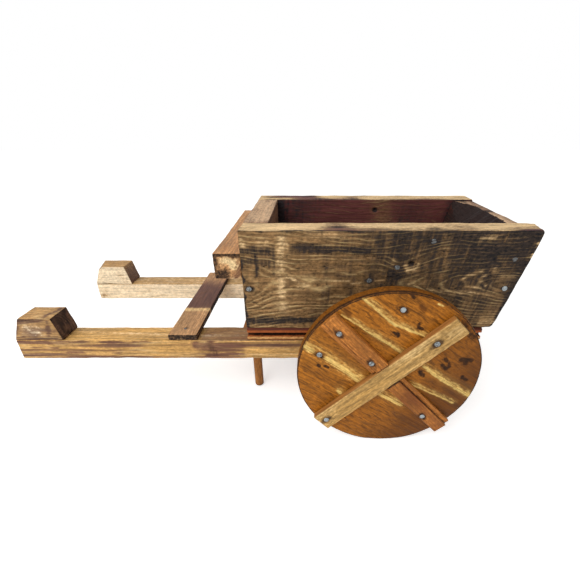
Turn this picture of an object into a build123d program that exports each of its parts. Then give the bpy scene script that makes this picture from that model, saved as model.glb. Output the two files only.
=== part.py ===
from build123d import *
import os
from math import atan, cos, degrees, radians, sin, tan

os.makedirs("parts", exist_ok=True)

# Small hand cart of reclaimed boards, in millimetres. The front is +X and +Z is up.
# The origin is on the ground under the middle of the cart's box.
# Pieces are made on the right-hand side (-Y) and mirrored to the left.

# Tray of thick boards
tray_length = 405.0
left_side_short = 8.0
right_front_skew = 8.0
nose_radius = 5.0
tray_width = 242.0
side_height = 150.0
side_thickness = 40.0
rear_board_thickness = 36.0
front_board_thickness = 38.0
front_rake = 38.0
front_inset = 8.5
front_drop = 3.0
wane_far = 3.0
wane_near = 24.0
wane_growth = 55.0

# Floor of tongue-and-groove boards
floor_names = ("right", "middle", "left")
floor_thickness = 22.0
floor_setback = 13.0
groove_height = 6.5
groove_depth = 7.0
tongue_slack = 0.3
floor_bevel = 2.5

# Shafts, grips and the pieces across them
handle_length = 354.0
shaft_width = 39.0
shaft_height = 34.0
grip_length = 74.0
grip_height = 38.0
grip_rear_slope = 15.0
grip_front_slope = 9.0
left_grip_outer_slope = 7.0
left_grip_bevel = 7.0
left_grip_bevel_end = 1.0
left_handle_short = 9.0
slat_width = 44.0
slat_thickness = 10.0
slat_distance = 76.5
beam_size = 38.0
beam_drop = 33.0
beam_right_inset = 3.0
beam_left_overhang = 20.0

# Legs and the rail that holds them
leg_radius = 8.0
leg_round = 3.0
leg_inset = 69.0
leg_socket = 15.0
rail_width = 36.0
rail_height = 22.0
tenon_width = 20.0
tenon_height = 12.0
tenon_length = 14.0

# Axle and what is on it
axle_distance = 204.5
axle_radius = 6.0
running_clearance = 0.05
end_play = 0.4
washer_rim = 4.2
washer_thickness = 2.5
spacer_wall = 5.0
spacer_length = 11.1
nut_wall = 3.0
nut_height = 10.8
axle_tip = 1.0
pocket_clearance = 1.0

# Wheels of planks
wheel_radius = 128.0
disc_thickness = 20.0
plank_angle = -35.0
upper_joint = 37.0
lower_joint = -31.0
batten_angle = 43.5
batten_width = 31.0
batten_thickness = 10.0
batten_offset = 4.0
batten_low_margin = 3.0
batten_high_margin = 8.0
brace_width = 27.0
brace_tongue = 6.8
tongue_bottom = 1.5
tongue_top = 6.0
brace_margin = 2.0
cleat_inset = 48.0
cleat_width = 36.0
cleat_thickness = 12.0
cleat_margin = 9.0
hub_size = 64.0
hub_thickness = 24.0
hub_bevel = 6.0

# Nails and screws
nail_head = 3.8
nail_head_height = 1.5
nail_sink = 0.7
nail_shank = 1.6
nail_bite = 27.0
nail_cover = 4.0
old_nail_length = 18.0
screw_head = 4.5
screw_shank = 2.2
screw_bite = 26.0
screw_cover = 7.0
rear_nail_inset = 9.0
rear_nail_drops = (85.0,)
front_nail_spots = ((13.5, 40.0), (5.5, 84.0))
old_nail_spots = ((259.0, 15.0), (215.0, 52.0), (178.0, 72.5))
batten_low_nail_inset = 11.0
batten_high_nail_inset = 40.0
upper_brace_outer_nail_inset = 23.0
upper_brace_inner_nail_inset = 18.5
lower_brace_nail_inset = 39.0
brace_nail_inset = 5.0
front_cleat_nail_spots = ((77.0, -11.0), (-47.0, 11.0))
rear_cleat_nail_spots = ((50.0, 0.0), (-50.0, 0.0))
hub_screw_inset = 10.0
beam_screw_inset = 40.0
shaft_screw_inset = 45.0
grip_screw_inset = 22.0
grip_screw_cover = 12.0
floor_nail_inset = 14.0
floor_nail_spacing = 44.0

# Heights and places that follow from the sizes above
axle_z = wheel_radius
shaft_bottom = axle_z - shaft_height / 2
shaft_top = axle_z + shaft_height / 2
floor_top = shaft_top + floor_thickness
tray_top = floor_top + side_height
rake_angle = degrees(atan(front_rake / side_height))
nose_loss = nose_radius * (1 / tan(radians(45 - rake_angle / 2)) - 1)
rear_end = -(tray_length + right_front_skew - nose_loss + handle_length) / 2
tray_rear = rear_end + handle_length
tray_front = tray_rear + tray_length
floor_front = tray_front - front_rake - floor_setback
half_width = tray_width / 2
inner_half_width = half_width - side_thickness
shaft_inner = half_width - shaft_width
axle_x = tray_rear + axle_distance
front_run = front_board_thickness / cos(radians(rake_angle))
inner_washer = half_width + spacer_length
hub_back = inner_washer + washer_thickness + end_play
disc_back = hub_back + hub_thickness
disc_front = disc_back + disc_thickness
batten_front = disc_front + batten_thickness
cleat_back = disc_back - cleat_thickness
batten_upper_edge = batten_offset + batten_width / 2
batten_lower_edge = batten_offset - batten_width / 2
batten_low_end = batten_low_margin - wheel_radius
batten_high_end = wheel_radius - batten_high_margin
brace_reach = wheel_radius - brace_margin
cleat_offset = wheel_radius - cleat_inset
washer_radius = axle_radius + washer_rim
nut_corner = (axle_radius + nut_wall) / cos(radians(30))
pocket_radius = max(washer_radius, nut_corner) + pocket_clearance
nut_end = disc_front - pocket_clearance - axle_tip
nut_start = nut_end - nut_height
outer_washer = nut_start - washer_thickness
pocket_bottom = outer_washer - end_play
axle_end = nut_end + axle_tip
handles = (("right", -1, rear_end), ("left", 1, rear_end + left_handle_short))
BOTTOM = (Align.CENTER, Align.CENTER, Align.MIN)
TOP = (Align.CENTER, Align.CENTER, Align.MAX)


def front_face_x(height):
    """Where the front board's outer face is at a height."""
    return tray_front - front_inset - (tray_top - height) * front_rake / side_height


def wheel_plane(distance, turn):
    """Plane across the right wheel, facing outwards, this far from the middle of the cart."""
    centre = (axle_x, -distance, axle_z)
    along = (cos(radians(turn)), 0, sin(radians(turn)))
    return Plane(origin=centre, x_dir=along, z_dir=(0, -1, 0))


def spots(plane, points):
    """Places on a plane, each with its axis out of the wood."""
    return [plane.location * Location((x, y, 0)) for x, y in points]


def turned(places):
    """The same places seen from the other side of the wood."""
    return [place * Rotation(180, 0, 0) for place in places]


def nails(places, length):
    """Round-headed nails, driven in until half of the head is below the surface."""
    with BuildPart() as group:
        with Locations(*[place * Location((0, 0, -nail_sink)) for place in places]):
            Cylinder(nail_head, nail_head_height, align=BOTTOM)
            Cylinder(nail_shank, length, align=TOP)
    return group


def screws(places, length):
    """Countersunk screws, flush with the surface."""
    with BuildPart() as group:
        with Locations(*places):
            Cone(screw_shank, screw_head, screw_head - screw_shank, align=TOP)
            Cylinder(screw_shank, length, align=TOP)
    return group


def mirrored(piece):
    """The left-hand twin of a right-hand piece."""
    with BuildPart() as twin:
        mirror(piece.part, about=Plane.XZ)
    return twin


def both_sides(piece):
    """A right-hand group of fasteners together with its left-hand twin."""
    with BuildPart() as pair:
        add(piece.part)
        mirror(piece.part, about=Plane.XZ)
    return pair


def save(piece, name):
    """Label a finished piece and write its file."""
    piece.part.label = name
    export_step(piece.part, f"parts/{name}.step")


# Nails through the right side board, both old ones and those into the end boards
right_face = Plane(origin=(0, -half_width, 0), x_dir=(1, 0, 0), z_dir=(0, -1, 0))
rear_nail_points = [(tray_rear + rear_nail_inset, tray_top - drop) for drop in rear_nail_drops]
front_nail_points = [
    (front_face_x(tray_top - drop) - inset, tray_top - drop) for inset, drop in front_nail_spots
]
end_nail_points = rear_nail_points + front_nail_points
tray_nails = both_sides(nails(spots(right_face, end_nail_points), side_thickness + nail_bite))
old_nail_points = [(tray_rear + along, tray_top - drop) for along, drop in old_nail_spots]
old_nails = nails(spots(right_face, old_nail_points), old_nail_length)

# Screws up through the shafts, and nails up through the floor into the end boards
shaft_middle = half_width - shaft_width / 2
shaft_screw_row = (
    tray_rear + shaft_screw_inset,
    axle_x - shaft_screw_inset,
    floor_front - shaft_screw_inset,
)
shaft_screw_places = turned(
    spots(Plane.XY.offset(shaft_bottom), [(x, -shaft_middle) for x in shaft_screw_row])
)
shaft_screws = both_sides(screws(shaft_screw_places, shaft_height + floor_thickness + screw_bite))
grip_screw_points = [
    (rear + along, side * shaft_middle)
    for _, side, rear in handles
    for along in (grip_screw_inset, grip_length - grip_screw_inset)
]
grip_screw_places = turned(spots(Plane.XY.offset(shaft_bottom), grip_screw_points))
grip_screws = screws(grip_screw_places, shaft_height + grip_height - grip_screw_cover)
floor_nail_row = (tray_rear + floor_nail_inset, front_face_x(floor_top) - floor_nail_inset)
floor_nail_points = [
    (x, y) for x in floor_nail_row for y in (-floor_nail_spacing / 2, floor_nail_spacing / 2)
]
floor_nail_places = turned(spots(Plane.XY.offset(shaft_top), floor_nail_points))
floor_nails = nails(floor_nail_places, floor_thickness + nail_bite)

# Screws from inside the tray into the rear beam
beam_middle = tray_top - beam_drop - beam_size / 2
inside_rear = Plane(
    origin=(tray_rear + rear_board_thickness, 0, beam_middle), x_dir=(0, 1, 0), z_dir=(1, 0, 0)
)
beam_screw_reach = inner_half_width - beam_screw_inset
beam_screw_points = [(-beam_screw_reach, 0), (beam_screw_reach, 0)]
beam_screw_length = rear_board_thickness + beam_size - screw_cover
beam_screws = screws(spots(inside_rear, beam_screw_points), beam_screw_length)

# Nails down through the slat into the shafts
slat_middle = tray_rear - slat_distance - slat_width / 2
slat_plane = Plane.XY.offset(shaft_top + slat_thickness)
slat_nail_length = slat_thickness + shaft_height - nail_cover
slat_nails = both_sides(nails(spots(slat_plane, [(slat_middle, -shaft_middle)]), slat_nail_length))

# Side boards with a raked front edge and worn front corners; the left one is shorter.
# The right one is sawn out of square, so that its inner edge stands further forward.
for name, side, front, skew, cuts in (
    ("right_side_board", -1, tray_front, right_front_skew, (tray_nails, shaft_screws, old_nails)),
    ("left_side_board", 1, tray_front - left_side_short, 0.0, (tray_nails, shaft_screws)),
):
    sawn_length = front + skew + nose_radius - tray_rear
    rise = Vector(front_rake, 0, side_height)
    run = Vector(skew, -side * side_thickness, 0)
    with BuildPart() as side_board:
        with Locations((tray_rear + sawn_length / 2, side * (half_width + inner_half_width) / 2, floor_top)):
            Box(sawn_length, side_thickness, side_height, align=BOTTOM)
        front_cut = Plane(origin=(front, side * half_width, tray_top), z_dir=rise.cross(run) * side)
        split(bisect_by=front_cut, keep=Keep.BOTTOM)
        for end in (0, -1):
            level_face = side_board.faces().sort_by(Axis.Z)[end]
            fillet(level_face.edges().sort_by(Axis.X)[-1], nose_radius)
        for cut in cuts:
            add(cut.part, mode=Mode.SUBTRACT)
    save(side_board, name)

# End boards between the sides
with BuildPart() as rear_end_board:
    with Locations((tray_rear + rear_board_thickness / 2, 0, floor_top)):
        Box(rear_board_thickness, 2 * inner_half_width, side_height, align=BOTTOM)
    for cut in (tray_nails, floor_nails, beam_screws):
        add(cut.part, mode=Mode.SUBTRACT)
save(rear_end_board, "rear_end_board")

front_top = tray_top - front_drop
inner_arris_x = front_face_x(front_top) - front_run
with BuildPart() as front_end_board:
    with BuildSketch(Plane.XZ.offset(-inner_half_width)):
        with BuildLine():
            Polyline(
                (front_face_x(floor_top) - front_run, floor_top),
                (front_face_x(floor_top), floor_top),
                (front_face_x(front_top), front_top),
                (inner_arris_x, front_top),
                close=True,
            )
        make_face()
    extrude(amount=2 * inner_half_width)
    # The waney inner arris grows from the left end, then keeps its width up to the right end
    for place, wane in (
        (inner_half_width, wane_far),
        (inner_half_width - wane_growth, wane_near),
        (-inner_half_width, wane_near),
    ):
        with BuildSketch(Plane.XZ.offset(-place)):
            with BuildLine():
                Polyline(
                    (inner_arris_x, front_top),
                    (inner_arris_x + wane, front_top),
                    (
                        inner_arris_x - wane * sin(radians(rake_angle)),
                        front_top - wane * cos(radians(rake_angle)),
                    ),
                    close=True,
                )
            make_face()
    loft(ruled=True, mode=Mode.SUBTRACT)
    for cut in (tray_nails, floor_nails):
        add(cut.part, mode=Mode.SUBTRACT)
save(front_end_board, "front_end_board")

# Floor boards, each with a groove on its right edge and a tongue on its left
floor_board_width = tray_width / len(floor_names)
floor_middle = shaft_top + floor_thickness / 2
for index, name in enumerate(floor_names):
    right_edge = -half_width + index * floor_board_width
    left_edge = right_edge + floor_board_width
    with BuildPart() as floor_board:
        with BuildSketch(Plane.YZ.offset(tray_rear)) as section:
            with Locations(((right_edge + left_edge) / 2, floor_middle)):
                Rectangle(floor_board_width, floor_thickness)
            chamfer(section.vertices().group_by(Axis.Y)[0], floor_bevel)
            with Locations((right_edge, floor_middle)):
                Rectangle(
                    groove_depth, groove_height, align=(Align.MIN, Align.CENTER), mode=Mode.SUBTRACT
                )
            if left_edge < half_width - groove_depth:
                with Locations((left_edge, floor_middle)):
                    Rectangle(
                        groove_depth - tongue_slack,
                        groove_height - 2 * tongue_slack,
                        align=(Align.MIN, Align.CENTER),
                    )
        extrude(amount=floor_front - tray_rear)
        for cut in (shaft_screws, floor_nails):
            add(cut.part, mode=Mode.SUBTRACT)
    save(floor_board, f"{name}_floor_board")

# Beam across the outside of the rear end board
beam_length = tray_width - beam_right_inset + beam_left_overhang
with BuildPart() as rear_beam:
    with Locations((tray_rear, -half_width + beam_right_inset, beam_middle)):
        Box(beam_size, beam_length, beam_size, align=(Align.MAX, Align.MIN, Align.CENTER))
    add(beam_screws.part, mode=Mode.SUBTRACT)
save(rear_beam, "rear_beam")

# Shafts with a mortise for the leg rail and a bore for the axle
mortise_middle = shaft_inner + tenon_length / 2
for name, side, rear in handles:
    with BuildPart() as shaft:
        with Locations((rear, side * shaft_middle, shaft_bottom)):
            Box(
                floor_front - rear,
                shaft_width,
                shaft_height,
                align=(Align.MIN, Align.CENTER, Align.MIN),
            )
        with Locations((tray_rear, side * mortise_middle, shaft_bottom + rail_height / 2)):
            Box(tenon_width, tenon_length, tenon_height, mode=Mode.SUBTRACT)
        with Locations(Location((axle_x, side * shaft_middle, axle_z), (90, 0, 0))):
            Cylinder(axle_radius, shaft_width, mode=Mode.SUBTRACT)
        for cut in (shaft_screws, grip_screws, slat_nails):
            add(cut.part, mode=Mode.SUBTRACT)
    save(shaft, f"{name}_shaft")

# Grip blocks on the rear ends of the shafts; the left one is sawn askew, with its inner corner cut off
grip_top = shaft_top + grip_height
for name, side, rear in handles:
    outer_slope = left_grip_outer_slope if name == "left" else grip_rear_slope
    with BuildPart() as grip:
        for distance, slope in ((half_width, outer_slope), (shaft_inner, grip_rear_slope)):
            with BuildSketch(Plane.XZ.offset(-side * distance)):
                with BuildLine():
                    Polyline(
                        (rear, shaft_top),
                        (rear + grip_length, shaft_top),
                        (rear + grip_length - grip_front_slope, grip_top),
                        (rear + slope, grip_top),
                        close=True,
                    )
                make_face()
        loft(ruled=True)
        if name == "left":
            corner = Vector(rear + grip_rear_slope, shaft_inner, grip_top)
            down = Vector(-grip_rear_slope, 0, -grip_height).normalized()
            across = Vector(rear + outer_slope + left_grip_bevel_end, half_width, grip_top)
            start = corner + Vector(left_grip_bevel, 0, 0)
            fall = corner + down * left_grip_bevel - start
            split(bisect_by=Plane(start, x_dir=fall, z_dir=fall.cross(across - start)), keep=Keep.TOP)
        add(grip_screws.part, mode=Mode.SUBTRACT)
    save(grip, f"{name}_grip")

# Slat across the shafts
with BuildPart() as cross_slat:
    with Locations((slat_middle, 0, shaft_top)):
        Box(slat_width, tray_width, slat_thickness, align=BOTTOM)
    add(slat_nails.part, mode=Mode.SUBTRACT)
save(cross_slat, "cross_slat")

# Rail between the shafts with a socket for each leg
leg_y = half_width - leg_inset
with BuildPart() as leg_rail:
    with Locations((tray_rear, 0, shaft_bottom)):
        Box(rail_width, 2 * shaft_inner, rail_height, align=BOTTOM)
    with Locations((tray_rear, 0, shaft_bottom + rail_height / 2)):
        Box(tenon_width, 2 * (shaft_inner + tenon_length), tenon_height)
    with Locations((tray_rear, -leg_y, shaft_bottom), (tray_rear, leg_y, shaft_bottom)):
        Cylinder(leg_radius, leg_socket, align=BOTTOM, mode=Mode.SUBTRACT)
save(leg_rail, "leg_rail")

with BuildPart() as right_leg:
    with Locations((tray_rear, -leg_y, 0)):
        Cylinder(leg_radius, shaft_bottom + leg_socket, align=BOTTOM)
    fillet(right_leg.edges().filter_by(GeomType.CIRCLE).sort_by(Axis.Z)[0], leg_round)
save(right_leg, "right_leg")
save(mirrored(right_leg), "left_leg")

# Axle rod, with a spacer, two washers and a nut at each end
with BuildPart() as axle_rod:
    with Locations(Location((axle_x, 0, axle_z), (90, 0, 0))):
        Cylinder(axle_radius, 2 * axle_end)
    chamfer(axle_rod.edges().filter_by(GeomType.CIRCLE), axle_tip)
save(axle_rod, "axle_rod")

with BuildPart() as right_spacer:
    with BuildSketch(wheel_plane(half_width, 0)):
        Circle(axle_radius + spacer_wall)
        Circle(axle_radius, mode=Mode.SUBTRACT)
    extrude(amount=spacer_length)
save(right_spacer, "right_axle_spacer")
save(mirrored(right_spacer), "left_axle_spacer")

with BuildPart() as right_washers:
    with BuildSketch(wheel_plane(inner_washer, 0), wheel_plane(outer_washer, 0)):
        Circle(washer_radius)
        Circle(axle_radius, mode=Mode.SUBTRACT)
    extrude(amount=washer_thickness)
save(both_sides(right_washers), "axle_washers")

with BuildPart() as right_nut:
    with BuildSketch(wheel_plane(nut_start, 0)):
        RegularPolygon(nut_corner, 6)
        Circle(axle_radius, mode=Mode.SUBTRACT)
    extrude(amount=nut_height)
save(both_sides(right_nut), "axle_nuts")

# Fasteners of one wheel, on the face of the battens, on the disc and on its back
main_width = brace_width - brace_tongue
upper_nail_x = brace_width / 2 - main_width + brace_nail_inset
lower_nail_x = brace_nail_inset - brace_width / 2
batten_nail_points = [
    (batten_low_end + batten_low_nail_inset, batten_offset),
    (batten_high_end - batten_high_nail_inset, batten_offset),
    (upper_nail_x, brace_reach - upper_brace_outer_nail_inset),
    (upper_nail_x, batten_upper_edge + upper_brace_inner_nail_inset),
    (lower_nail_x, lower_brace_nail_inset - brace_reach),
]
front_cleat_points = [(x, cleat_offset + y) for x, y in front_cleat_nail_spots]
rear_cleat_points = [(x, y - cleat_offset) for x, y in rear_cleat_nail_spots]
cleat_nail_places = spots(wheel_plane(disc_front, batten_angle), front_cleat_points) + turned(
    spots(wheel_plane(cleat_back, batten_angle), rear_cleat_points)
)
batten_nails = nails(
    spots(wheel_plane(batten_front, batten_angle), batten_nail_points),
    batten_thickness + disc_thickness - nail_cover,
)
cleat_nails = nails(cleat_nail_places, disc_thickness + cleat_thickness - nail_cover)
with BuildPart() as right_wheel_nails:
    add(batten_nails.part)
    add(cleat_nails.part)
hub_reach = hub_size / 2 - hub_screw_inset
hub_points = [(x, y) for x in (-hub_reach, hub_reach) for y in (-hub_reach, hub_reach)]
hub_screw_places = turned(spots(wheel_plane(hub_back, batten_angle), hub_points))
right_hub_screws = screws(hub_screw_places, hub_thickness + disc_thickness - screw_cover)


def wheel_piece(builder, name):
    """Finish a piece of the right wheel and write it with its left-hand twin."""
    save(builder, f"right_wheel_{name}")
    save(mirrored(builder), f"left_wheel_{name}")


wheel_piece(right_wheel_nails, "nails")
wheel_piece(right_hub_screws, "hub_screws")

# Disc of three planks; the middle one has the bore and the pocket for the nut
plank_bands = (
    ("lower_plank", -wheel_radius, lower_joint),
    ("middle_plank", lower_joint, upper_joint),
    ("upper_plank", upper_joint, wheel_radius),
)
for name, low, high in plank_bands:
    with BuildPart() as plank:
        with BuildSketch(wheel_plane(disc_back, plank_angle)):
            Circle(wheel_radius)
            with Locations((0, (low + high) / 2)):
                Rectangle(2 * wheel_radius, high - low, mode=Mode.INTERSECT)
        extrude(amount=disc_thickness)
        with BuildSketch(wheel_plane(disc_back, 0)):
            Circle(axle_radius + running_clearance)
        extrude(amount=disc_thickness, mode=Mode.SUBTRACT)
        with BuildSketch(wheel_plane(pocket_bottom, 0)):
            Circle(pocket_radius)
        extrude(amount=disc_front - pocket_bottom, mode=Mode.SUBTRACT)
        for cut in (right_wheel_nails, right_hub_screws):
            add(cut.part, mode=Mode.SUBTRACT)
    wheel_piece(plank, name)

# Long batten across the face
with BuildPart() as batten:
    with BuildSketch(wheel_plane(disc_front, batten_angle)):
        with Locations(((batten_low_end + batten_high_end) / 2, batten_offset)):
            Rectangle(batten_high_end - batten_low_end, batten_width)
    extrude(amount=batten_thickness)
    add(right_wheel_nails.part, mode=Mode.SUBTRACT)
wheel_piece(batten, "batten")

# Short braces that butt against the batten; the lower one is turned end for end
for name, direction, start in (
    ("upper_brace", 1, batten_upper_edge),
    ("lower_brace", -1, -batten_lower_edge),
):
    brace_length = brace_reach - start
    brace_middle = direction * (start + brace_length / 2)
    body_middle = direction * brace_tongue / 2
    tongue_middle = -direction * main_width / 2
    with BuildPart() as brace:
        with BuildSketch(wheel_plane(disc_front, batten_angle)):
            with Locations((body_middle, brace_middle)):
                Rectangle(main_width, brace_length)
        extrude(amount=batten_thickness)
        with BuildSketch(wheel_plane(disc_front + tongue_bottom, batten_angle)):
            with Locations((tongue_middle, brace_middle)):
                Rectangle(brace_tongue, brace_length)
        extrude(amount=tongue_top - tongue_bottom)
        add(right_wheel_nails.part, mode=Mode.SUBTRACT)
    wheel_piece(brace, name)

# Cleats that tie the planks together behind the disc
for name, direction in (("upper_cleat", 1), ("lower_cleat", -1)):
    with BuildPart() as cleat:
        with BuildSketch(wheel_plane(cleat_back, batten_angle)):
            Circle(wheel_radius - cleat_margin)
            with Locations((0, direction * cleat_offset)):
                Rectangle(2 * wheel_radius, cleat_width, mode=Mode.INTERSECT)
        extrude(amount=cleat_thickness)
        add(right_wheel_nails.part, mode=Mode.SUBTRACT)
    wheel_piece(cleat, name)

# Hub block that the axle runs in
with BuildPart() as hub:
    with BuildSketch(wheel_plane(hub_back, batten_angle)) as hub_outline:
        Rectangle(hub_size, hub_size)
        chamfer(hub_outline.vertices(), hub_bevel)
        Circle(axle_radius + running_clearance, mode=Mode.SUBTRACT)
    extrude(amount=hub_thickness)
    with BuildSketch(wheel_plane(pocket_bottom, 0)):
        Circle(pocket_radius)
    extrude(amount=disc_front - pocket_bottom, mode=Mode.SUBTRACT)
    add(right_hub_screws.part, mode=Mode.SUBTRACT)
wheel_piece(hub, "hub")

# Fasteners of the tray and the shafts
save(tray_nails, "tray_nails")
save(old_nails, "old_nails")
save(shaft_screws, "shaft_screws")
save(grip_screws, "grip_screws")
save(floor_nails, "floor_nails")
save(beam_screws, "beam_screws")
save(slat_nails, "slat_nails")
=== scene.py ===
import math

import bmesh
import bpy
import numpy as np
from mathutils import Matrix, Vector


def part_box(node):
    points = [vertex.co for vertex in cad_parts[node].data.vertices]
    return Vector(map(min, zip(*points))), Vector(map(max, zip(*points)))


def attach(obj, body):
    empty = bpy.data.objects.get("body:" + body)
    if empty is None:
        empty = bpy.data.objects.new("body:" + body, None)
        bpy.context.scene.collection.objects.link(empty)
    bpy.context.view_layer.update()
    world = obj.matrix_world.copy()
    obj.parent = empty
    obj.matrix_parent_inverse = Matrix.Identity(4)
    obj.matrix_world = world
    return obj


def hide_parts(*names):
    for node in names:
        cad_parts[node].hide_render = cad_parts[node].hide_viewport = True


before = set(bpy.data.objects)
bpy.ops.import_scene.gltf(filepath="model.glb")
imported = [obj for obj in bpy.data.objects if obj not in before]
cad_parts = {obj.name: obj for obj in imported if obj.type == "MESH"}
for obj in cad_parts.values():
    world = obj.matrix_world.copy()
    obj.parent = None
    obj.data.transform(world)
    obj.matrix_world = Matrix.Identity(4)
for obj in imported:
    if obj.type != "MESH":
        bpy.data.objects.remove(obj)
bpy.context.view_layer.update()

bl_info = {
    "name": "Scorched Garden Cart",
    "version": (1, 0, 0),
    "blender": (4, 5, 0),
    "location": "View3D > Sidebar > Cart",
    "description": "Dresses a small plank-wheeled hand cart in scorched, brushed and oiled wood",
    "category": "Add Mesh",
}

MM = 0.001
TURN = 2 * math.pi
SIDES = {"right": -1, "left": 1}

# What is laid over plain wood, in the order in which a piece keeps it
CHAR, BARE, STAIN = range(3)

# A fixed seed for the random grain and wear of a piece, or of a group of like pieces
SEEDS = {
    "right_side_board": 11,
    "left_side_board": 12,
    "rear_end_board": 21,
    "front_end_board": 22,
    "right_floor_board": 31,
    "middle_floor_board": 32,
    "left_floor_board": 33,
    "rear_beam": 41,
    "cross_slat": 42,
    "right_shaft": 51,
    "left_shaft": 52,
    "right_grip": 61,
    "left_grip": 62,
    "legs": 71,
    "leg_rail": 72,
    "right_wheel_lower_plank": 81,
    "right_wheel_middle_plank": 82,
    "right_wheel_upper_plank": 83,
    "left_wheel_lower_plank": 86,
    "left_wheel_middle_plank": 87,
    "left_wheel_upper_plank": 88,
    "right_wheel_batten": 91,
    "left_wheel_batten": 92,
    "braces": 106,
    "hubs": 115,
    "cleats": 116,
}


# Settings that a user would change


def tone(text):
    """Linear red, green and blue of a screen colour such as "b47832"."""
    shares = [int(text[i : i + 2], 16) / 255 for i in (0, 2, 4)]
    return tuple(s / 12.92 if s <= 0.04045 else ((s + 0.055) / 1.055) ** 2.4 for s in shares)


def colour(name, description, text):
    """A colour setting."""
    return bpy.props.FloatVectorProperty(
        name=name, description=description, subtype="COLOR", size=3, min=0, max=1, default=tone(text)
    )


def length(name, description, size):
    """A length setting, given in millimetres and kept in metres."""
    return bpy.props.FloatProperty(
        name=name, description=description, unit="LENGTH", precision=5, default=size * MM
    )


def angle(name, description, degrees):
    """An angle setting, given in degrees."""
    return bpy.props.FloatProperty(
        name=name, description=description, subtype="ANGLE", default=math.radians(degrees)
    )


def share(name, description, value):
    """A setting from 0 to 1."""
    return bpy.props.FloatProperty(
        name=name, description=description, subtype="FACTOR", min=0, max=1, default=value
    )


def number(name, description, value, unit="NONE"):
    """A setting that is a plain number."""
    return bpy.props.FloatProperty(name=name, description=description, unit=unit, default=value)


def spot(name, description, place):
    """A place in the cart's frame, in metres."""
    return bpy.props.FloatVectorProperty(
        name=name, description=description, subtype="TRANSLATION", unit="LENGTH", default=place
    )


def finish_group(slot, title, ground, line, bare, stain, burn, lines, dashes, roughness):
    """Settings of one wood finish: its colours, and how strongly its grain shows."""
    settings_of_finish = {
        "ground": colour("Ground", f"Plain colour of the {title}", ground),
        "line": colour("Growth line", f"Colour of the growth lines in the {title}", line),
        "bare": colour("Bare", f"Colour of the {title} where it is rubbed bare", bare),
        "stain": colour("Stain", f"Colour of the {title} where it is stained dark", stain),
        "burn": colour("Burn", f"Colour of the {title} where it is scorched", burn),
        "lines": share("Growth lines", "How strongly the growth lines show", lines),
        "dashes": share("Pores", "How strongly the short dark pores show", dashes),
        "roughness": share("Roughness", "Roughness of the clean wood", roughness),
    }
    body = {"__doc__": f"Finish of the {title}.", "__annotations__": settings_of_finish}
    return type(f"CART_PG_{slot}", (bpy.types.PropertyGroup,), body)


# Each row gives the settings of a finish in the order in which finish_group takes them
FINISHES = {
    "charred_board": ("side board", "8c6a43", "d0b07a", "e2c08e", "56292a", "1f1d1f", 0.85, 0.35, 0.62),
    "stained_board": ("end board", "8a6248", "a98562", "cba882", "4a2722", "241b19", 0.5, 0.3, 0.6),
    "floor_wood": ("floor board", "a8592a", "7a3f1f", "dba968", "4f231a", "1d1512", 0.5, 0.3, 0.6),
    "beam_wood": ("rear beam", "d89f69", "a86a36", "e0c696", "5f3c2b", "2a1d16", 0.5, 0.35, 0.55),
    "shaft_wood": ("shaft", "dba963", "e6c48c", "eed9b8", "5e3c34", "2d211b", 0.65, 0.35, 0.55),
    "grip_wood": ("grip", "c69860", "dfbd86", "eedab9", "553930", "2a1c15", 0.6, 0.3, 0.55),
    "slat_wood": ("cross slat", "c9986a", "8c5f3a", "e6c288", "5a3a34", "1e1512", 0.4, 0.35, 0.55),
    "leg_wood": ("leg", "b5783f", "8a5428", "cf9a62", "5a3423", "241812", 0.5, 0.4, 0.6),
    "pale_wood": ("wheel batten", "c69a58", "a67838", "dcba80", "8e5c2c", "3a281c", 0.5, 0.5, 0.5),
    "red_wood": ("wheel brace", "c47c38", "8a4f20", "d49d58", "6e3a18", "2c1a10", 0.55, 0.5, 0.5),
    "wheel_wood": ("wheel plank", "ad6a1e", "7c4412", "e4c272", "5c3208", "2e1a0c", 0.3, 0.9, 0.5),
}


class CART_PG_wear(bpy.types.PropertyGroup):
    """How far the boards have worn."""

    arris: length("Arris", "Radius worn onto the edges of the boards", 1.8)
    relief: length("Relief", "Depth that the soft wood is brushed out between growth lines", 0.4)
    waviness: length("Waviness", "How far the sawn faces wander from flat", 0.5)


class CART_PG_tray(bpy.types.PropertyGroup):
    """How the boards of the tray are sawn."""

    rake: length("Rake", "How far the side boards lean forward at their front edge", 38)
    skew: length("Skew", "How far the right board's inner front edge stands ahead of its outer one", 8)
    nose: length("Nose", "Radius worn onto the front corners of the side boards", 5)
    wane_far: length("Far wane", "Bark left on the front board's inner arris at the left end", 3)
    wane_near: length("Near wane", "Bark left on the front board's inner arris at the right end", 24)
    wane_growth: length("Wane growth", "Length over which the wane grows", 55)
    groove_height: length("Groove height", "Height of the groove in a floor board", 6.5)
    groove_depth: length("Groove depth", "Depth of the groove in a floor board", 7)
    groove_slack: length("Groove slack", "Room round a tongue in its groove", 0.3)
    floor_bevel: length("Floor bevel", "Cut off the groove side's edges of a floor board", 2.5)


class CART_PG_grip(bpy.types.PropertyGroup):
    """How the grip blocks are sawn."""

    rear_slope: length("Rear slope", "How far the rear end leans in at the top", 15)
    front_slope: length("Front slope", "How far the front end leans in at the top", 9)
    left_slope: length("Left slope", "How far the left grip's outer rear edge leans in", 7)
    bevel: length("Bevel", "Cut off the left grip's inner rear corner", 7)
    bevel_end: length("Bevel end", "What is left of that cut at the outer side", 1)


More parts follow.
